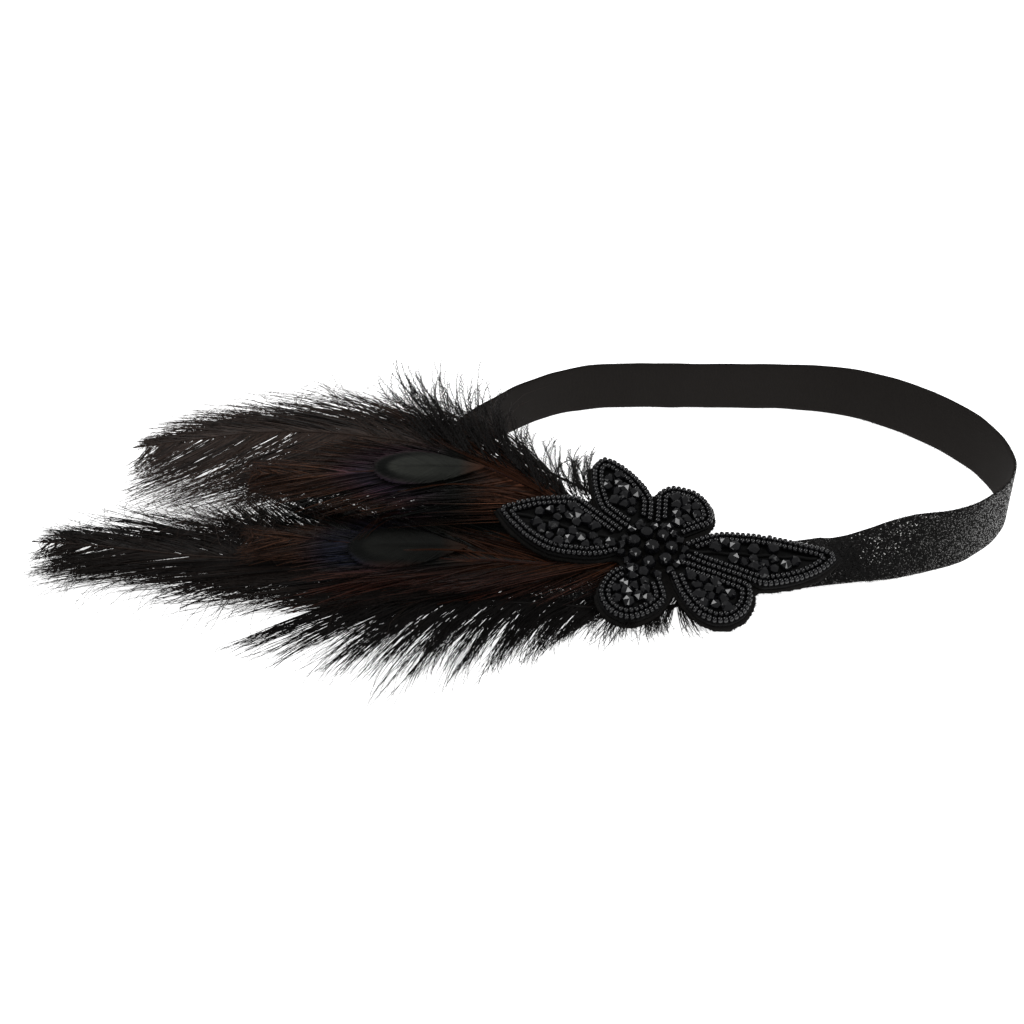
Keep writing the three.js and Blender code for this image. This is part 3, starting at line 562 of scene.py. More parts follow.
def stone_places(petal, outline, rng):
    """Close rows of stones inside the bead rows, clear of a leaf's vein."""
    _, _, reach, _, veined, sections = petal
    hub = sections[0][0] * reach
    pitch = STONE_PITCH * 0.92
    grid = [(hub + 1.4 + row * pitch * 0.9, (k + 0.5 * (row % 2)) * pitch)
            for row in range(16) for k in range(-5, 6)]
    grid = np.array(grid) + rng.normal(0, 0.28, (len(grid), 2))
    if veined:
        grid[:, 1] += np.sign(grid[:, 1]) * 0.5
    room = np.linalg.norm(grid[:, None] - outline[None], axis=2)
    room[:, outline[:, 0] < hub + 3] = 99
    keep = inside(grid, outline) & (room.min(axis=1) > RIM_WIDTH + 0.1)
    if veined:
        keep &= np.abs(grid[:, 1]) > (VEIN_WIDTH + STONE_SIZE * 0.6) / 2
    return grid[keep]


def lay_stone(shape, p, level, size, rng):
    """A stone on the flower's plane, turned and tipped at random."""
    turn, tip = rng.uniform(0, math.pi), rng.normal(0, 0.22)
    flat_way = math.cos(turn) * RIGHT_AXIS + math.sin(turn) * UP_AXIS
    x_axis = unit(flat_way * math.cos(tip) + NORMAL * math.sin(tip))
    roll = rng.uniform(0, math.pi)
    side = np.cross(NORMAL, flat_way)
    y_axis = unit(side * math.cos(roll) + np.cross(x_axis, side) * math.sin(roll))
    z_axis = np.cross(x_axis, y_axis)
    placed(shape, cut_stone(size, size * rng.uniform(0.95, 1.15)), [x_axis, y_axis, z_axis],
           on_flower(p[0], p[1], level), smooth=False)


RIGHT_AXIS = np.array([1.0, 0, 0])
UP_AXIS = on_flower(0, 1, 0) - CENTRE


def on_plane(run, level):
    return on_flower(run[:, 0], run[:, 1], level)


# The bead rows of a petal: their depth from its edge, and how far past the hub end they begin
BEAD_ROWS, BEAD_PITCH, BEAD_SIZE, BEAD_LENGTH = ((1.15, 1.6), (3.4, 4.4)), 1.72, 2.12, 1.5
BEAD_ROW_LEVEL, STONE_LEVEL, VEIN_LEVEL, VEIN_STEPS = RIM_TOP - 1.05, PAD_TOP + 0.9, PAD_TOP + 0.25, 40


def bead_rows(shape, outline, way, hub, rng):
    """Seed beads, each a little uneven, along a petal's edge."""
    for depth, closed_end in BEAD_ROWS:
        row = resample(drawn_in(outline, depth), BEAD_PITCH)
        shown = row[:, 0] > hub + closed_end
        row = turned(row, way)
        ahead = unit(np.roll(row, -1, axis=0) - np.roll(row, 1, axis=0))
        for p, (ax, ay) in zip(row[shown], ahead[shown]):
            lean = rng.normal(0, 0.12)
            c, s = math.cos(lean), math.sin(lean)
            ax, ay = ax * c - ay * s, ax * s + ay * c
            axes = [ax * RIGHT_AXIS + ay * UP_AXIS, ax * UP_AXIS - ay * RIGHT_AXIS, NORMAL]
            size, length = rng.normal(BEAD_SIZE, 0.08), rng.normal(BEAD_LENGTH, 0.06)
            place = on_flower(p[0], p[1], BEAD_ROW_LEVEL + rng.normal(0, 0.09))
            placed(shape, seed_bead(length, size), axes, place)


def make_petal(petal, rng):
    name, way, reach, _, veined, sections = petal
    hub = sections[0][0] * reach
    outline = petal_outline(petal)
    flat = turned(outline, way)
    count = len(flat)
    ring = np.arange(count)
    after = np.roll(ring, -1)
    walls = np.stack([ring, after, after + count, ring + count], axis=-1)
    shape = Shape()
    shape.add(np.vstack([on_plane(flat, PAD_BOTTOM), on_plane(flat, PAD_TOP - 0.3)]), walls, [ring[::-1]],
              [ring + count], slot=1)
    bead_rows(shape, outline, way, hub, rng)
    for p in turned(stone_places(petal, outline, rng), way):
        lay_stone(shape, p, STONE_LEVEL, STONE_SIZE * rng.uniform(0.95, 1.3), rng)
    if veined:
        outs = np.linspace(hub + 2.5, reach - RIM_WIDTH * 1.6, VEIN_STEPS)
        spine = turned(np.stack([outs, 0.25 * np.sin(outs * 0.7)], axis=1), way)
        path = on_plane(spine, VEIN_LEVEL)
        shape.add(*tubes(path[None], np.full((1, VEIN_STEPS), VEIN_WIDTH), sides=6), slot=1)
    shape.piece(f"{name}_beadwork", [glass.material, thread.material], [name])


petal_rng = np.random.default_rng(7)
for petal_row in PETALS:
    make_petal(petal_row, petal_rng)

HUB_STONES, HUB_STONE_SIZE, HUB_REACH = 17, 3.3, (9.6, 10.8)


def make_hub():
    """Stones that fill the felt between the rosette and the petals."""
    shape = Shape()
    rng = np.random.default_rng(8)
    for i in range(HUB_STONES):
        turn = 2 * math.pi * (i + rng.uniform(-0.2, 0.2)) / HUB_STONES
        far = rng.uniform(*HUB_REACH)
        lay_stone(shape, (far * math.cos(turn), far * math.sin(turn)), PAD_TOP + 0.2, HUB_STONE_SIZE, rng)
    shape.piece("hub_stones", [glass.material], [])


make_hub()


def make_round_bead(name, size, right, up, rng):
    """A fire-polished bead that stands on the felt."""
    rows = [(level * size, radius * size)
            for level, radius in ((-0.43, 0.24), (-0.3, 0.4), (0, 0.5), (0.3, 0.4), (0.43, 0.24))]
    turn = rng.uniform(0, 1)
    x_axis = math.cos(turn) * RIGHT_AXIS + math.sin(turn) * UP_AXIS
    shape = Shape()
    placed(shape, cut_rows(rows, 9), [x_axis, np.cross(NORMAL, x_axis), NORMAL],
           on_flower(right, up, FELT_TOP + GAP + 0.42 * size), smooth=False)
    shape.piece(f"{name}_cut", [glass.material], [name])


make_round_bead("center_bead", CENTRE_BEAD, 0, 0, petal_rng)
for i in range(7):
    angle = i * 2 * math.pi / 7
    make_round_bead(f"rosette_bead_{i + 1}", ROSETTE_BEAD, ROSETTE_RADIUS * math.cos(angle),
                    ROSETTE_RADIUS * math.sin(angle), petal_rng)

# Feathers
PLUME_REACH, PEACOCK_REACH, PLUME_VANE, PEACOCK_VANE = 210, 120, 46, 24
CREST_HEIGHT, LOW_HEIGHT, BACK_RISE = 21.5, 10, 12
BACK_FRINGE_LENGTH, FRONT_FRINGE_LENGTH = 36, 42
LEAST_HEIGHT = 0.25
HOOKED_SHARE, HOOK_TURN, HOOK_START = 0.22, 2.2, 0.45

# Rooted is where a quill starts, right and up as shares of the flower's length. Quill is its free points,
# out, back and high as shares of reach and height. Rows give a vane's barbs at shares of the reach: their
# sweep, their length on the back and front sides and their rise. Tufts give fluff in the same way: left,
# back and rise
FEATHERS = {
    "long_plume_upper": dict(
        reach=PLUME_REACH, height=CREST_HEIGHT, vane=PLUME_VANE, rooted=[(-0.06, 0.12), (-0.15, 0.2)],
        quill=[(0.14, 0.152, 0.62), (0.2, 0.19, 0.74), (0.27, 0.226, 0.87), (0.34, 0.245, 0.97),
               (0.43, 0.268, 1), (0.54, 0.295, 0.97), (0.65, 0.315, 0.87), (0.77, 0.335, 0.62),
               (0.89, 0.348, 0.38)],
        rows=[(0.3, 0.12, 0.84, 0.5, 1), (0.38, 0.16, 0.86, 0.74, 1), (0.46, 0.18, 0.8, 0.9, 0.5),
              (0.54, 0.19, 0.74, 1, 0), (0.62, 0.19, 0.62, 1, 0), (0.7, 0.13, 0.44, 0.84, 0),
              (0.77, 0.11, 0.36, 0.72, 0), (0.84, 0.08, 0.2, 0.42, 0)]),
    "long_plume_lower": dict(
        reach=PLUME_REACH, height=LOW_HEIGHT, vane=PLUME_VANE, rooted=[(-0.05, -0.055), (-0.2, -0.05)],
        quill=[(0.19, -0.02, 0.62), (0.32, -0.021, 0.65), (0.49, 0.006, 0.62), (0.62, 0.018, 0.58),
               (0.73, 0.03, 0.55), (0.82, 0.05, 0.5), (0.91, 0.07, 0.42), (1, 0.088, 0.3)],
        rows=[(0.36, 0.2, 0.44, 0.52, 0), (0.44, 0.2, 0.56, 0.56, 0), (0.53, 0.2, 0.54, 0.52, 0),
              (0.62, 0.2, 0.56, 0.46, 0), (0.71, 0.19, 0.52, 0.42, 0), (0.8, 0.17, 0.36, 0.4, 0),
              (0.88, 0.12, 0.2, 0.36, 0)]),
    "peacock_feather_upper": dict(
        reach=PEACOCK_REACH, height=CREST_HEIGHT, vane=PEACOCK_VANE, rooted=[(-0.05, 0.06), (-0.14, 0.13)],
        quill=[(0.24, 0.208, 0.66), (0.36, 0.27, 0.84), (0.48, 0.308, 1.03), (0.64, 0.268, 1.12),
               (0.78, 0.248, 1.13), (0.95, 0.25, 1.07)],
        rows=[(0.24, 0.16, 0.3, 0.3, 0), (0.36, 0.17, 0.46, 0.6, 0), (0.48, 0.18, 0.74, 0.76, 0),
              (0.6, 0.2, 1.06, 0.82, 0), (0.72, 0.22, 1.1, 0.8, 0), (0.84, 0.2, 0.8, 0.5, 0),
              (0.93, 0.18, 0.36, 0.2, 0)]),
    "peacock_feather_lower": dict(
        reach=PEACOCK_REACH, height=LOW_HEIGHT, vane=PEACOCK_VANE, rooted=[(-0.04, 0), (-0.16, -0.008)],
        quill=[(0.31, -0.012, 0.78), (0.44, -0.026, 1.02), (0.57, -0.03, 1.12), (0.69, 0.012, 1.22),
               (0.82, 0.03, 1.24), (0.94, 0.06, 1.18)],
        rows=[(0.3, 0.17, 0.62, 0.54, 0), (0.42, 0.18, 0.86, 0.72, 0), (0.54, 0.18, 0.98, 0.8, 0),
              (0.66, 0.19, 0.9, 0.8, 0), (0.78, 0.18, 0.66, 0.76, 0), (0.88, 0.16, 0.3, 0.4, 0)]),
    "fringe_upper": dict(
        reach=PEACOCK_REACH, height=CREST_HEIGHT, rooted=[(-0.02, 0.15), (-0.13, 0.235)],
        quill=[(0.24, 0.285, 0.87), (0.36, 0.37, 0.98), (0.48, 0.44, 1.07), (0.6, 0.5, 1.14)],
        tufts=[(0.16, 0.02, 0.46, 0.35), (0.2, 0.1, 0.6, 0.4), (0.25, 0.16, 0.72, 0.4),
               (0.3, 0.22, 0.82, 0.45), (0.35, 0.3, 0.94, 0.6), (0.4, 0.32, 1, 0.75), (0.45, 0.36, 0.92, 0.7),
               (0.5, 0.4, 0.96, 0.8), (0.55, 0.48, 0.86, 0.7), (0.6, 0.6, 0.76, 0.7)],
        length=BACK_FRINGE_LENGTH, lift=BACK_RISE),
    "fringe_lower": dict(
        reach=PEACOCK_REACH, height=LOW_HEIGHT, rooted=[(0.14, -0.15)],
        quill=[(0, -0.155, 0.17), (0.15, -0.15, 0.19), (0.3, -0.14, 0.28), (0.45, -0.142, 0.36),
               (0.6, -0.14, 0.36), (0.7, -0.14, 0.33)],
        tufts=[(-0.12, -0.1, -0.3, -0.1), (-0.03, 0.15, -0.36, -0.1), (0.05, 0.3, -0.44, -0.12),
               (0.1, 0.42, -0.4, -0.13), (0.15, 0.46, -0.58, -0.14), (0.22, 0.48, -0.66, -0.18),
               (0.3, 0.52, -0.84, -0.22), (0.38, 0.6, -0.94, -0.26), (0.45, 0.7, -0.92, -0.26),
               (0.54, 0.78, -0.86, -0.26), (0.61, 0.96, -0.74, -0.26), (0.66, 1.12, -0.6, -0.25),
               (0.7, 1.26, -0.5, -0.23)],
        length=FRONT_FRINGE_LENGTH, lift=LOW_HEIGHT),
}

BLACK = np.array([0.0055, 0.0047, 0.0044])
BROWN = np.array([0.017, 0.0095, 0.0065])
COPPER = np.array([0.052, 0.0155, 0.005])
RUST = np.array([0.024, 0.0075, 0.0045])
VIOLET = np.array([0.029, 0.0135, 0.0195])
BLUE = np.array([0.008, 0.0105, 0.02])
TEAL = np.array([0.0092, 0.0098, 0.0085])
NIGHT = np.array([0.003, 0.0035, 0.003])


def quill_points(feather, count=200):
    rooted = [on_flower(r * FLOWER_LENGTH, u * FLOWER_LENGTH, QUILL_LEVEL) for r, u in feather["rooted"]]
    reach, height = feather["reach"], feather["height"]
    free = [(CENTRE[0] - out * reach, CENTRE[1] + back * reach, high * height)
            for out, back, high in feather["quill"]]
    return smooth_run(rooted + free, count)


def along(points, distance):
    """Points of a quill at distances left of the flower's centre."""
    gone = np.maximum.accumulate(CENTRE[0] - points[:, 0]) + np.arange(len(points)) * 1e-6
    distance = np.asarray(distance, float)
    return np.stack([CENTRE[0] - distance, np.interp(distance, gone, points[:, 1]),
                     np.interp(distance, gone, points[:, 2])], axis=-1)


def bezier(root, middle, tip, steps):
    t = np.linspace(0, 1, steps)[None, :, None]
    return (1 - t) ** 2 * root[:, None] + 2 * t * (1 - t) * middle[:, None] + t**2 * tip[:, None]


def hooked(rng, paths):
    """Curls the ends of some paths strongly and of the others a little, level with the floor."""
    count, steps, _ = paths.shape
    turn = np.where(rng.uniform(0, 1, count) < HOOKED_SHARE, rng.uniform(0.4, 1, count) * HOOK_TURN,
                    rng.uniform(0, 0.3, count)) * rng.choice((1, -1), count)
    t = np.linspace(0, 1, steps)[1:]
    angle = turn[:, None] * np.clip((t - HOOK_START) / (1 - HOOK_START), 0, 1) ** 1.4
    part = np.diff(paths, axis=1)
    x = part[:, :, 0] * np.cos(angle) - part[:, :, 1] * np.sin(angle)
    y = part[:, :, 0] * np.sin(angle) + part[:, :, 1] * np.cos(angle)
    run = np.cumsum(np.stack([x, y, part[:, :, 2]], axis=-1), axis=1)
    return np.concatenate([paths[:, :1], paths[:, :1] + run], axis=1)


def lively(rng, paths, curl, wobble):
    """Bends paths sideways towards their tips and gives them slow waves."""
    count, steps, _ = paths.shape
    t = np.linspace(0, 1, steps)[None, :]
    ahead = unit(paths[:, -1] - paths[:, 0])
    side = unit(np.cross(ahead, UP))
    bent = curl[:, None] * t**3 + wobble[:, None] * t * np.sin(
        2 * math.pi * (rng.uniform(0.5, 1.3, (count, 1)) * t + rng.uniform(0, 1, (count, 1))))
    lift = wobble[:, None] * 0.8 * t * np.sin(
        2 * math.pi * (rng.uniform(0.4, 1.0, (count, 1)) * t + rng.uniform(0, 1, (count, 1))))
    moved = paths + side[:, None] * bent[:, :, None]
    moved[:, :, 2] = np.maximum(moved[:, :, 2] + lift, LEAST_HEIGHT)
    return moved


def vane_barbs(rng, feather, count, steps, cap, stretch, bend, clump, curl, loose, groups=46,
               span=(0.7, 1.05)):
    """Barbs of both sides of a vane. Stretch makes them longer than the solids' locks, from roots
    nearer the flower to the same tips, and cap is how far out their tips may come."""
    rows = np.array(feather["rows"])
    rows[:, 0] -= rows[:, 1] * (stretch - 1)
    rows[:, 1] *= stretch
    quill = quill_points(feather)
    reach, height = feather["reach"], feather["height"]
    share = np.sort(rng.uniform(rows[0, 0] - 0.05, cap - 0.03, count))
    side = rng.choice((1, -1), count)
    sweep, back, front, rise = [np.interp(share, rows[:, 0], rows[:, k]) for k in (1, 2, 3, 4)]
    group = np.floor((share + 0.3) * groups + 0.5 * (side > 0)).astype(int)
    size = rng.uniform(*span, count)
    drift = rng.normal(0, 1, (groups * 2, 3))[group]
    size = np.minimum(size * (1 + 0.08 * drift[:, 0]), span[1] + 0.05)
    gone = sweep * size + clump * ((group + 0.5) / groups - 0.3 - share)
    most = np.maximum(cap - share - np.abs(rng.normal(0, 0.02, count)), 0.01)
    squeezed = np.minimum(gone, most) / np.maximum(gone, 0.01)
    tip_share = share + np.minimum(gone, most)
    wide = np.where(side > 0, back, -front) * size * np.clip(squeezed, 0.15, 1) ** 0.5
    root, tip = along(quill, share * reach), along(quill, tip_share * reach)
    tip[:, 1] += wide * feather["vane"]
    tip[:, 2] += np.where(side > 0, 2 * rise - 0.06 * height, -rise - 0.16 * height) * size
    tip += drift * np.array([loose, loose, 0.6 * loose]) + rng.normal(0, 0.5, (count, 3))
    middle = (root + tip) / 2
    middle[:, 0] += np.abs(tip[:, 1] - root[:, 1]) * rng.normal(bend, 0.06, count)
    middle[:, 1] += (tip[:, 1] - root[:, 1]) * rng.normal(bend, 0.06, count)
    middle[:, 2] += rng.normal(0.6, 0.5, count)
    paths = bezier(root, middle, tip, steps)
    return lively(rng, paths, rng.normal(0, curl, count), rng.uniform(0.1, 0.7, count))


def from_flower(points):
    """Places given as (out, back, high) from the flower's centre."""
    return CENTRE * [1, 1, 0] + np.array(points) * [-1, 1, 1]


def fan_barbs(rng, feather, fans, steps, wobble=0.5):
    """Long loose barbs. A fan is its count, the shares of the quill's reach that it starts from and
    ends at, and its first and last tip as (out, back, high) from the flower's centre."""
    quill = quill_points(feather)
    made = []
    for count, (start, end), first, last in fans:
        share = np.sort(rng.uniform(0, 1, count))[:, None]
        root = along(quill, (start + (end - start) * share[:, 0]) * feather["reach"])
        tip = from_flower(first) * (1 - share) + from_flower(last) * share
        tip += rng.normal(0, 1.4, (count, 3)) * [1, 1, 0.5]
        tip = root + (tip - root) * rng.uniform(0.72, 1.05, (count, 1))
        middle = (root + tip) / 2 + rng.normal(0, 0.8, (count, 3)) * [1, 1, 0.6]
        middle[:, 1] += (tip[:, 1] - root[:, 1]) * 0.06
        made.append(lively(rng, bezier(root, middle, tip, steps), rng.normal(0, 1.5, count),
                           rng.uniform(0.1, wobble, count)))
    return np.concatenate(made)


def on_stems(stems, t):
    """Places on stems and the way ahead there. Each t runs from 0 at the root to 1 at the tip."""
    steps = stems.shape[1]
    t = t * (steps - 1)
    low = np.minimum(t.astype(int), steps - 2)
    who = np.arange(len(stems))[:, None]
    part = stems[who, low + 1] - stems[who, low]
    return stems[who, low] + part * (t - low)[:, :, None], unit(part)


def both_sides(ahead, each):
    return unit(np.cross(ahead, UP)) * np.where(np.arange(each) % 2, 1, -1)[None, :, None]


def barb_widths(rng, paths, thick, end=0.25):
    count, steps, _ = paths.shape
    taper = 1 - (1 - end) * np.linspace(0, 1, steps)[None, :] ** 1.5
    return thick * taper * rng.uniform(0.8, 1.2, (count, 1))


def spread_tint(tint, points, count):
    """A colour for each point. Tint is one colour, one for each barb, or a function of place."""
    if callable(tint):
        return tint(points)
    return np.repeat(np.broadcast_to(tint, (count, 3)), len(points) // count, axis=0)


def lay_barbs(shape, paths, widths, tint, shade=1.0, flat=1.0, slot=0):
    """Adds barbs. Shade makes all of them, or each one, lighter or darker."""
    points, *faces = tubes(paths, widths, flat=flat)
    shade = spread_tint(np.broadcast_to(shade, (len(paths), 1)), points, len(paths))
    shape.add(points, *faces, tint=spread_tint(tint, points, len(paths)) * shade, slot=slot)


def lay_hairs(shape, rng, paths, each, length, width, tint, forward=0.9):
    """Adds fine side hairs to barbs."""
    count = len(paths)
    root, ahead = on_stems(paths, np.sort(rng.uniform(0.1, 0.97, (count, each)), axis=1))
    ways = ahead * forward + both_sides(ahead, each) + UP * rng.normal(0, 0.45, (count, each, 1))
    long = length * rng.uniform(0.5, 1.1, (count, each))
    points, *faces = spikes(root.reshape(-1, 3), ways.reshape(-1, 3), long.ravel(), width)
    shape.add(points, *faces, tint=spread_tint(tint, points, count))


def lay_shaft(shape, feather, size, tint):
    """Adds a quill that thins towards its tip."""
    points = quill_points(feather, 60)
    shape.add(*tubes(points[None], size * np.linspace(1, 0.35, 60)[None], sides=6), tint=tint)


# The long plumes: fine barbs over wide flat ones. Cap is where the barbs' tips end, as a share of the
# quill's reach, and strays and flats are fans
# The upper plume's brightness, five against one and a half for the lower plume, is painted sheen for the
# light on the top of the crest, laid over the feathers' own dark tone
PLUMES = {
    "long_plume_upper": dict(
        seed=21, count=1200, cap=0.895, stretch=2.1, tone_and_painted_sheen=5.0,
        strays=[(26, (0.3, 0.46), (100, 92, 24), (132, 112, 21)),
                (14, (0.4, 0.6), (132, 88, 20), (166, 86, 15)),
                (40, (0.42, 0.66), (128, 34, 11), (168, 26, 9)), (70, (0.3, 0.6), (96, 44, 12), (150, 30, 9)),
                (130, (0.38, 0.56), (102, 22, 10), (140, 23, 9))],
        flats=[(140, (0.34, 0.56), (92, 31, 10), (146, 31, 9))]),
    "long_plume_lower": dict(
        seed=22, count=1100, cap=1.0, stretch=2.0, tone_and_painted_sheen=1.5,
        strays=[(12, (0.5, 0.62), (140, -26, 1), (176, -12, 1)),
                (6, (0.6, 0.7), (138, -38, 0.6), (150, -36, 0.6)),
                (60, (0.38, 0.6), (122, 32, 9), (166, 40, 7)), (60, (0.26, 0.56), (92, 34, 8), (150, 34, 7)),
                (150, (0.4, 0.64), (104, 38, 10), (162, 34, 8)),
                (110, (0.18, 0.6), (96, -20, 3), (160, -11, 3))],
        flats=[(150, (0.12, 0.62), (90, -22, 2.5), (164, -11, 2.5)),
               (100, (0.34, 0.58), (104, 37, 9.5), (152, 34, 8))]),
}
UNDER_COUNT, UNDER_DEPTH = 240, 0.4


def make_plume(name, seed, count, cap, stretch, tone_and_painted_sheen, strays, flats):
    rng = np.random.default_rng(seed)
    feather = FEATHERS[name]
    shape = Shape()
    lay_shaft(shape, feather, 1.5, BROWN)
    paths = np.concatenate([
        vane_barbs(rng, feather, count, 10, cap, stretch, bend=0.15, clump=0.2, curl=2.2, loose=1.0),
        fan_barbs(rng, feather, strays, 10, wobble=2.0)])
    paths = hooked(rng, paths)
    count = len(paths)
    tint = BLACK + (BROWN - BLACK) * rng.uniform(0, 0.4, (count, 1))
    # The brightness scale here carries the feathers' own tone and painted sheen
    tint = tint * tone_and_painted_sheen * rng.uniform(0.6, 1.4, (count, 1))
    lay_barbs(shape, paths, barb_widths(rng, paths, 0.32), tint)
    under = np.concatenate([
        vane_barbs(rng, feather, UNDER_COUNT, 9, cap - 0.03, stretch, bend=0.12, clump=0.1, curl=0.6,
                   loose=0.5, span=(0.5, 0.86)),
        fan_barbs(rng, feather, flats, 9, wobble=0.8)])
    under[:, :, 2] -= UNDER_DEPTH
    shade = rng.uniform(0.5, 1.2, (len(under), 1))
    lay_barbs(shape, under, barb_widths(rng, under, 1.2, 0.4), BLACK * tone_and_painted_sheen * 0.9, shade, flat=0.2)
    lay_hairs(shape, rng, paths, 10, 1.9, 0.12, tint, forward=1.5)
    return shape.piece(f"{name}_barbs", [plume_finish.material], [name])


for name, plume in PLUMES.items():
    make_plume(name, **plume)

# The peacock feathers. An eye is its length, width and brightness, and the colours round it and near
# the flower; it sits at a share of the quill's reach. Arches are barbs that have sprung loose across
# the eyes, as places from the flower's centre
PEACOCKS = {
    "peacock_feather_upper": dict(
        seed=31, eye_share=0.64, eye=(32, 20, 2.5, VIOLET * 1.2, COPPER + 2 * BLACK),
        fans=[(90, (0.1, 0.42), (58, 66, 23), (112, 90, 25)), (60, (0.16, 0.4), (84, 12, 14), (116, 24, 18)),
              (30, (0.2, 0.5), (104, 16, 15), (122, 30, 18))],
        dark_fans=[(60, (0.3, 0.7), (84, 14, 16), (122, 22, 18)),
                   (60, (0.02, 0.3), (50, 34, 10), (76, 30, 12))],
        arches=[[(34, 22, 17), (50, 24.5, 21), (68, 23, 23.5), (84, 19, 23)],
                [(36, 26, 18), (52, 34, 23), (64, 41, 25), (74, 50, 25.5)]]),
    "peacock_feather_lower": dict(
        seed=32, eye_share=0.69,
        eye=(33, 22, 0.75, 0.7 * BLUE + 0.15 * VIOLET, 0.45 * COPPER + 0.3 * BLACK),
        fans=[(120, (-0.02, 0.45), (24, -18, 4.5), (118, -19, 4)),
              (60, (0.2, 0.5), (84, 16, 11), (120, 26, 10))],
        dark_fans=[(150, (0.12, 0.66), (54, 26, 11.5), (126, 22, 9)),
                   (50, (0.1, 0.5), (56, 12, 11), (112, 30, 10)),
                   (70, (0.08, 0.6), (50, 36, 12.5), (126, 42, 10)),
                   (130, (0.2, 0.8), (80, 35, 11), (132, 36, 10)),
                   (80, (0.05, 0.6), (66, -17, 3), (126, -19, 3))],
        arches=[[(58, 27, 12.8), (70, 25.5, 14.2), (82, 21, 14.8), (92, 13, 14.2), (97, 4, 13.2)],
                [(50, 20, 11.5), (74, 30, 13.5), (98, 29, 13), (114, 22, 11.5)],
                [(38, -4, 10.5), (54, -4.5, 13.6), (68, -3.5, 14.3), (80, -4, 14.4)]]),
}
DENSE_COUNT, LOOSE_COUNT, DENSE_DEPTH, ARCH_COPIES, FRONT_EDGE = 460, 640, 0.15, 4, 9
EYE_RINGS, EYE_SIDES, EYE_BARBS, EYE_STEPS, EYE_NARROWING, EYE_LEAN = 12, 44, 150, 9, 0.3, 0.35


def eye_tints(points, place, length, width, tone_and_painted_sheen, round_it, near):
    """The peacock colours round an eye, by place."""
    x = (points[..., 0] - place[0]) / (length / 2)
    y = (points[..., 1] - place[1]) / (width / 2)
    r = np.sqrt(x**2 + y**2)
    left = np.clip(0.5 - x * 0.8, 0, 1)[..., None]

    def soft(value, low, high):
        return np.clip((value - low) / (high - low), 0, 1)[..., None]

    def over(under, colour, share):
        return under * (1 - share) + colour * share

    tint = TEAL * tone_and_painted_sheen * (0.75 + 0.35 * soft(-x, -0.6, 0.5)) * (1 - 0.25 * soft(np.abs(y), 0.5, 0.9))
    tint = over(tint, NIGHT * 0.8, soft(r, 0.66, 0.76) * (1 - soft(r, 0.97, 1.03)) * left)
    tint = over(tint, over(TEAL * 1.2, round_it, left), soft(r, 0.98, 1.12))
    tint = over(tint, BLUE, 0.7 * soft(r, 1.0, 1.2) * (1 - soft(r, 1.35, 1.6)) * left * soft(-y, -0.6, 0.4))
    tint = over(tint, BROWN + 0.25 * COPPER, soft(r, 1.5, 2.1))
    tint = over(tint, near, soft(points[..., 0] - place[0], 0.4 * length, 0.75 * length))
    return over(tint, RUST + BLACK, soft(CENTRE[1] - points[..., 1], FRONT_EDGE - 2, FRONT_EDGE + 3))


def make_eye(shape, rng, place, length, width, tint):
    """A crowned plate that narrows towards the flower, and the fine barbs that lie on it."""
    turn = 2 * math.pi * np.arange(EYE_SIDES) / EYE_SIDES
    radius = np.linspace(0, 1, EYE_RINGS + 1)[1:, None]
    c, s = np.cos(turn), np.sin(turn)
    x = radius * c * length / 2
    y = radius * s * (1 - EYE_NARROWING * c) * width / 2
    z = 0.75 * (1 - radius**2) - EYE_LEAN * radius * c + 0.1
    top = np.stack([x, y, z], axis=-1).reshape(-1, 3)
    points = np.vstack([top, [[0, 0, 0.85], [0, 0, -0.25]]]) + place
    index = np.arange(EYE_RINGS * EYE_SIDES).reshape(EYE_RINGS, EYE_SIDES)
    after = np.roll(index, -1, axis=1)
    quads = np.stack([index[:-1], index[1:], after[1:], after[:-1]], axis=-1).reshape(-1, 4)
    peak, under = np.full(EYE_SIDES, index.size), np.full(EYE_SIDES, index.size + 1)
    cap = np.stack([peak, index[0], after[0]], axis=-1)
    base = np.stack([under, after[-1], index[-1]], axis=-1)
    shape.add(points, quads, cap, base, tint=tint(points) * 0.7, slot=1)
    for sign in (-1, 1):
        s = (np.arange(EYE_BARBS) + rng.uniform(0, 0.8, EYE_BARBS)) / EYE_BARBS
        root = np.stack([(1.35 - 1.87 * s) * length / 2, np.zeros(EYE_BARBS),
                         0.8 - 0.3 * np.abs(1 - 1.6 * s)], axis=1)
        angle = math.pi * (0.16 + 0.84 * s)
        c, s = np.cos(angle), np.sin(angle)
        edge = rng.uniform(0.97, 1.06, EYE_BARBS)
        tip = np.stack([edge * c * length / 2, sign * edge * s * (1 - EYE_NARROWING * c) * width / 2,
                        0.25 - EYE_LEAN * c], axis=1)
        middle = (root + tip) / 2 + np.stack([0.8 * s, sign * 1.2 * s, np.full(EYE_BARBS, 0.45)], axis=1)
        paths = bezier(root, middle, tip, EYE_STEPS) + place
        lay_barbs(shape, paths, barb_widths(rng, paths, 0.7, 0.8), tint,
                  rng.uniform(0.8, 1.2, (EYE_BARBS, 1)), flat=0.35, slot=1)


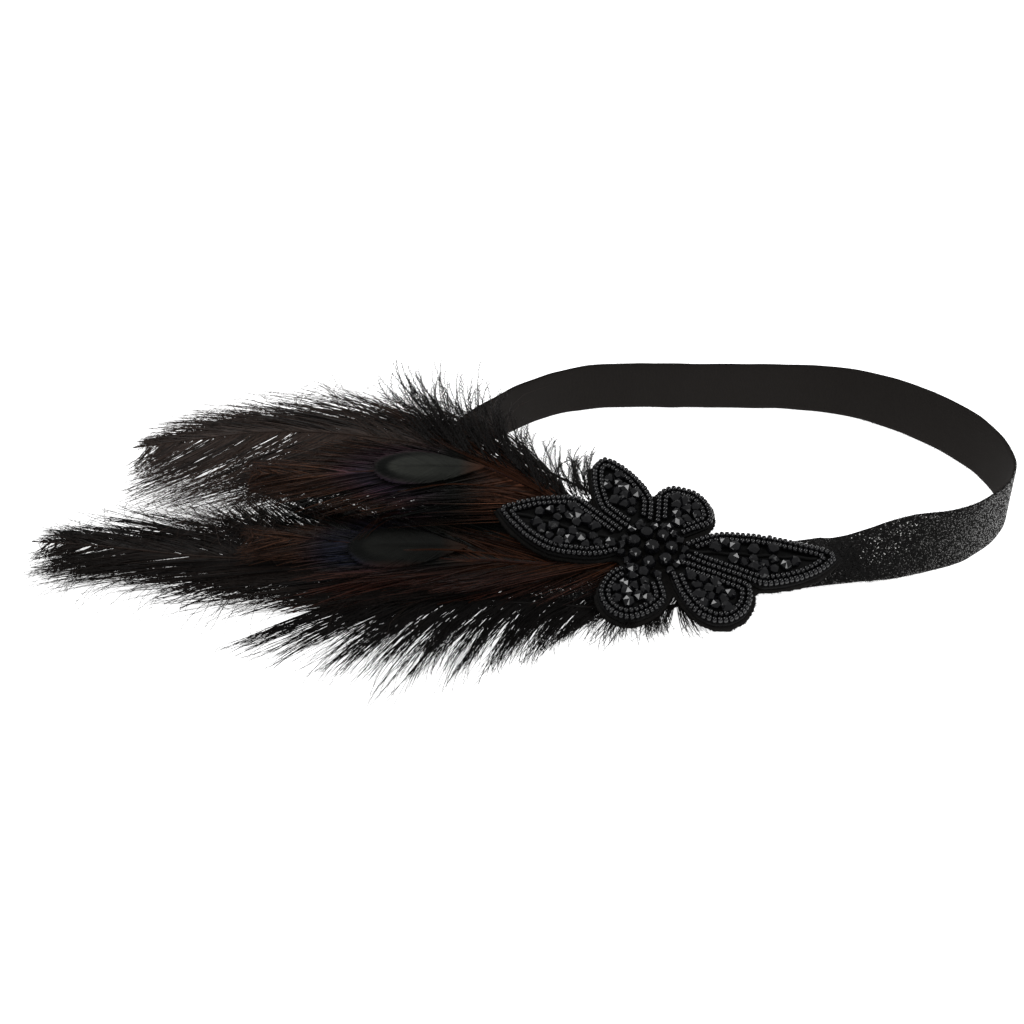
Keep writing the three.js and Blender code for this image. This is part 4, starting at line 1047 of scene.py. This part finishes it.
def make_peacock(name, seed, eye_share, eye, fans, dark_fans, arches):
    rng = np.random.default_rng(seed)
    feather = FEATHERS[name]
    place = along(quill_points(feather), eye_share * PEACOCK_REACH)

    def by_place(points):
        return eye_tints(points, place, *eye)

    def dark(points):
        return np.where(points[:, 1:2] < CENTRE[1] - FRONT_EDGE, RUST * 1.2, NIGHT)

    shape = Shape()
    lay_shaft(shape, feather, 1.3, RUST)
    paths = vane_barbs(rng, feather, DENSE_COUNT, 9, cap=1.02, stretch=2.1, bend=0.05, clump=0.1, curl=0.4,
                       loose=0.3, groups=30, span=(0.55, 0.85))
    paths[:, :, 2] -= DENSE_DEPTH
    lay_barbs(shape, paths, barb_widths(rng, paths, 1.1, 0.5), by_place,
              rng.uniform(0.2, 1.0, (len(paths), 1)) ** 1.5, flat=0.25)
    paths = fan_barbs(rng, feather, dark_fans, 9)
    lay_barbs(shape, paths, barb_widths(rng, paths, 1.3, 0.5), dark,
              rng.uniform(0.6, 1.8, (len(paths), 1)), flat=0.2)
    paths = np.concatenate([
        vane_barbs(rng, feather, LOOSE_COUNT, 10, cap=1.14, stretch=2.1, bend=0.05, clump=0.35, curl=1.2,
                   loose=0.8, groups=34, span=(0.75, 1.05)),
        fan_barbs(rng, feather, fans, 10)])
    shade = 0.3 + 3.0 * rng.uniform(0, 1, (len(paths), 1)) ** 3
    lay_barbs(shape, paths, barb_widths(rng, paths, 0.36), by_place, shade)
    lay_hairs(shape, rng, paths, 10, 1.6, 0.12, by_place)
    make_eye(shape, rng, place, *eye[:2], by_place)
    runs = np.array([smooth_run(from_flower(run), 14) for run in arches])
    copies = np.concatenate([runs + rng.normal(0, 0.7, (len(runs), 1, 3)) * [1, 1, 0.3]
                             for _ in range(ARCH_COPIES)])
    lay_barbs(shape, copies, barb_widths(rng, copies, 0.4), COPPER * 0.55)
    lay_hairs(shape, rng, copies, 34, 0.9, 0.08, COPPER * 0.35)
    return shape.piece(f"{name}_barbs", [peacock_finish.material, eye_finish.material], [name])


for name, peacock in PEACOCKS.items():
    make_peacock(name, **peacock)


TUFT_BEND, STEM_COUNT, BRANCHES_EACH, FRONT_COUNT, FRINGE_SHAFT = 0.18, 115, 36, 1150, 1.3


def tuft_paths(rng, feather, count, steps, jitter, curl, behind):
    """Stems of fluff that start on a quill or within a range behind it."""
    tufts = np.array(feather["tufts"])
    quill = quill_points(feather)
    share = np.sort(rng.uniform(tufts[0, 0] - 0.04, tufts[-1, 0] + 0.02, count))
    left, back, rise = [np.interp(share, tufts[:, 0], tufts[:, k]) for k in (1, 2, 3)]
    root = along(quill, share * feather["reach"])
    group = np.floor(share * 44).astype(int) + 8
    drift = np.clip(rng.normal(0, 1, (60, 3)), -1.7, 1.7)[group]
    size = rng.uniform(0.55, 1.08, count) * (1 + 0.07 * drift[:, 0])
    tip = root + np.stack([-left * feather["length"], back * feather["length"], rise * feather["lift"]],
                          axis=1) * size[:, None]
    tip += drift * jitter + rng.normal(0, 0.6, (count, 3))
    root[:, 1] += rng.uniform(*behind, count)
    middle = (root + tip) / 2
    middle[:, 0] -= np.abs(tip[:, 1] - root[:, 1]) * TUFT_BEND * rng.uniform(0.3, 1.4, count)
    middle[:, 2] += rng.normal(0.8, 0.6, count)
    return lively(rng, bezier(root, middle, tip, steps), rng.normal(0, curl, count),
                  rng.uniform(0.2, 0.8, count))


def side_branches(rng, stems, each, longest):
    """Short branches on both sides of stems, longest near the root."""
    count = len(stems)
    root, ahead = on_stems(stems, np.tile(np.linspace(0.08, 0.98, each), (count, 1)))
    way = unit(ahead * rng.uniform(1.8, 2.8, (count, each, 1)) + both_sides(ahead, each)
               + UP * rng.normal(0, 0.22, (count, each, 1)))
    size = longest * (1 - 0.55 * np.linspace(0, 1, each))[None, :, None]
    size = size * rng.uniform(0.6, 1.1, (count, each, 1))
    root, way, size, ahead = [v.reshape(-1, v.shape[-1]) for v in (root, way, size, ahead)]
    middle = root + (way * 0.55 - ahead * 0.04) * size
    return lively(rng, bezier(root, middle, root + way * size, 4), rng.normal(0, 0.35, len(root)),
                  rng.uniform(0, 0.15, len(root)))


def make_back_fringe():
    rng = np.random.default_rng(41)
    feather = FEATHERS["fringe_upper"]
    shape = Shape()
    lay_shaft(shape, feather, FRINGE_SHAFT, BLACK)
    stems = tuft_paths(rng, feather, STEM_COUNT, 12, 2.4, 2.0, behind=(-15, 0))
    lay_barbs(shape, stems, barb_widths(rng, stems, 0.5), BLACK)
    branches = side_branches(rng, stems, BRANCHES_EACH, 3.3)
    lay_barbs(shape, branches, barb_widths(rng, branches, 0.3), BLACK * 1.4)
    lay_hairs(shape, rng, branches, 2, 1.0, 0.12, BLACK * 1.6, forward=1.8)
    return shape.piece("fringe_upper_tufts", [plume_finish.material], ["fringe_upper"])


def make_front_fringe():
    rng = np.random.default_rng(42)
    feather = FEATHERS["fringe_lower"]
    shape = Shape()
    lay_shaft(shape, feather, FRINGE_SHAFT, BLACK)
    paths = tuft_paths(rng, feather, FRONT_COUNT, 11, 1.8, 1.5, behind=(0, 11))
    lay_barbs(shape, paths, barb_widths(rng, paths, 0.42), BLACK)
    lay_hairs(shape, rng, paths, 10, 1.7, 0.12, BLACK * 1.2, forward=1.8)
    return shape.piece("fringe_lower_tufts", [plume_finish.material], ["fringe_lower"])


make_back_fringe()
make_front_fringe()

# Floor and light
FLOOR_HALF, FLOOR_DEPTH = 4, 0.0002
floor_mesh = bpy.data.meshes.new("floor")
floor_mesh.from_pydata([(x * FLOOR_HALF, y * FLOOR_HALF, 0) for x, y in ((-1, -1), (1, -1), (1, 1), (-1, 1))],
                       [], [(0, 1, 2, 3)])
floor = bpy.data.objects.new("floor", floor_mesh)
bpy.context.scene.collection.objects.link(floor)
floor.location.z = -FLOOR_DEPTH
pale = Finish("pale_floor", Roughness=0.9, Base_Color=(0.85, 0.85, 0.85, 1), Emission_Color=(1, 1, 1, 1),
              Emission_Strength=0.92)
floor_mesh.materials.append(pale.material)

world = bpy.data.worlds.new("studio")
world.use_nodes = True
background = world.node_tree.nodes["Background"]
background.inputs["Color"].default_value = (1, 1, 1, 1)
background.inputs["Strength"].default_value = 0.3
bpy.context.scene.world = world


def softbox(name, place, size, power):
    data = bpy.data.lights.new(name, "AREA")
    data.shape = "RECTANGLE"
    data.size, data.size_y = size
    data.energy = power
    lamp = bpy.data.objects.new(name, data)
    lamp.location = place
    lamp.rotation_euler = (Vector((0, 0, 0)) - Vector(place)).to_track_quat("-Z", "Y").to_euler()
    bpy.context.scene.collection.objects.link(lamp)


softbox("softbox_left", (-0.7, 0.5, 0.9), (0.7, 0.5), 6.5)
softbox("softbox_right", (0.8, -0.2, 1.0), (0.5, 0.4), 5)
softbox("softbox_front", (0.0, -1.1, 0.9), (0.6, 0.3), 3)
bpy.context.scene.view_settings.view_transform = "Standard"
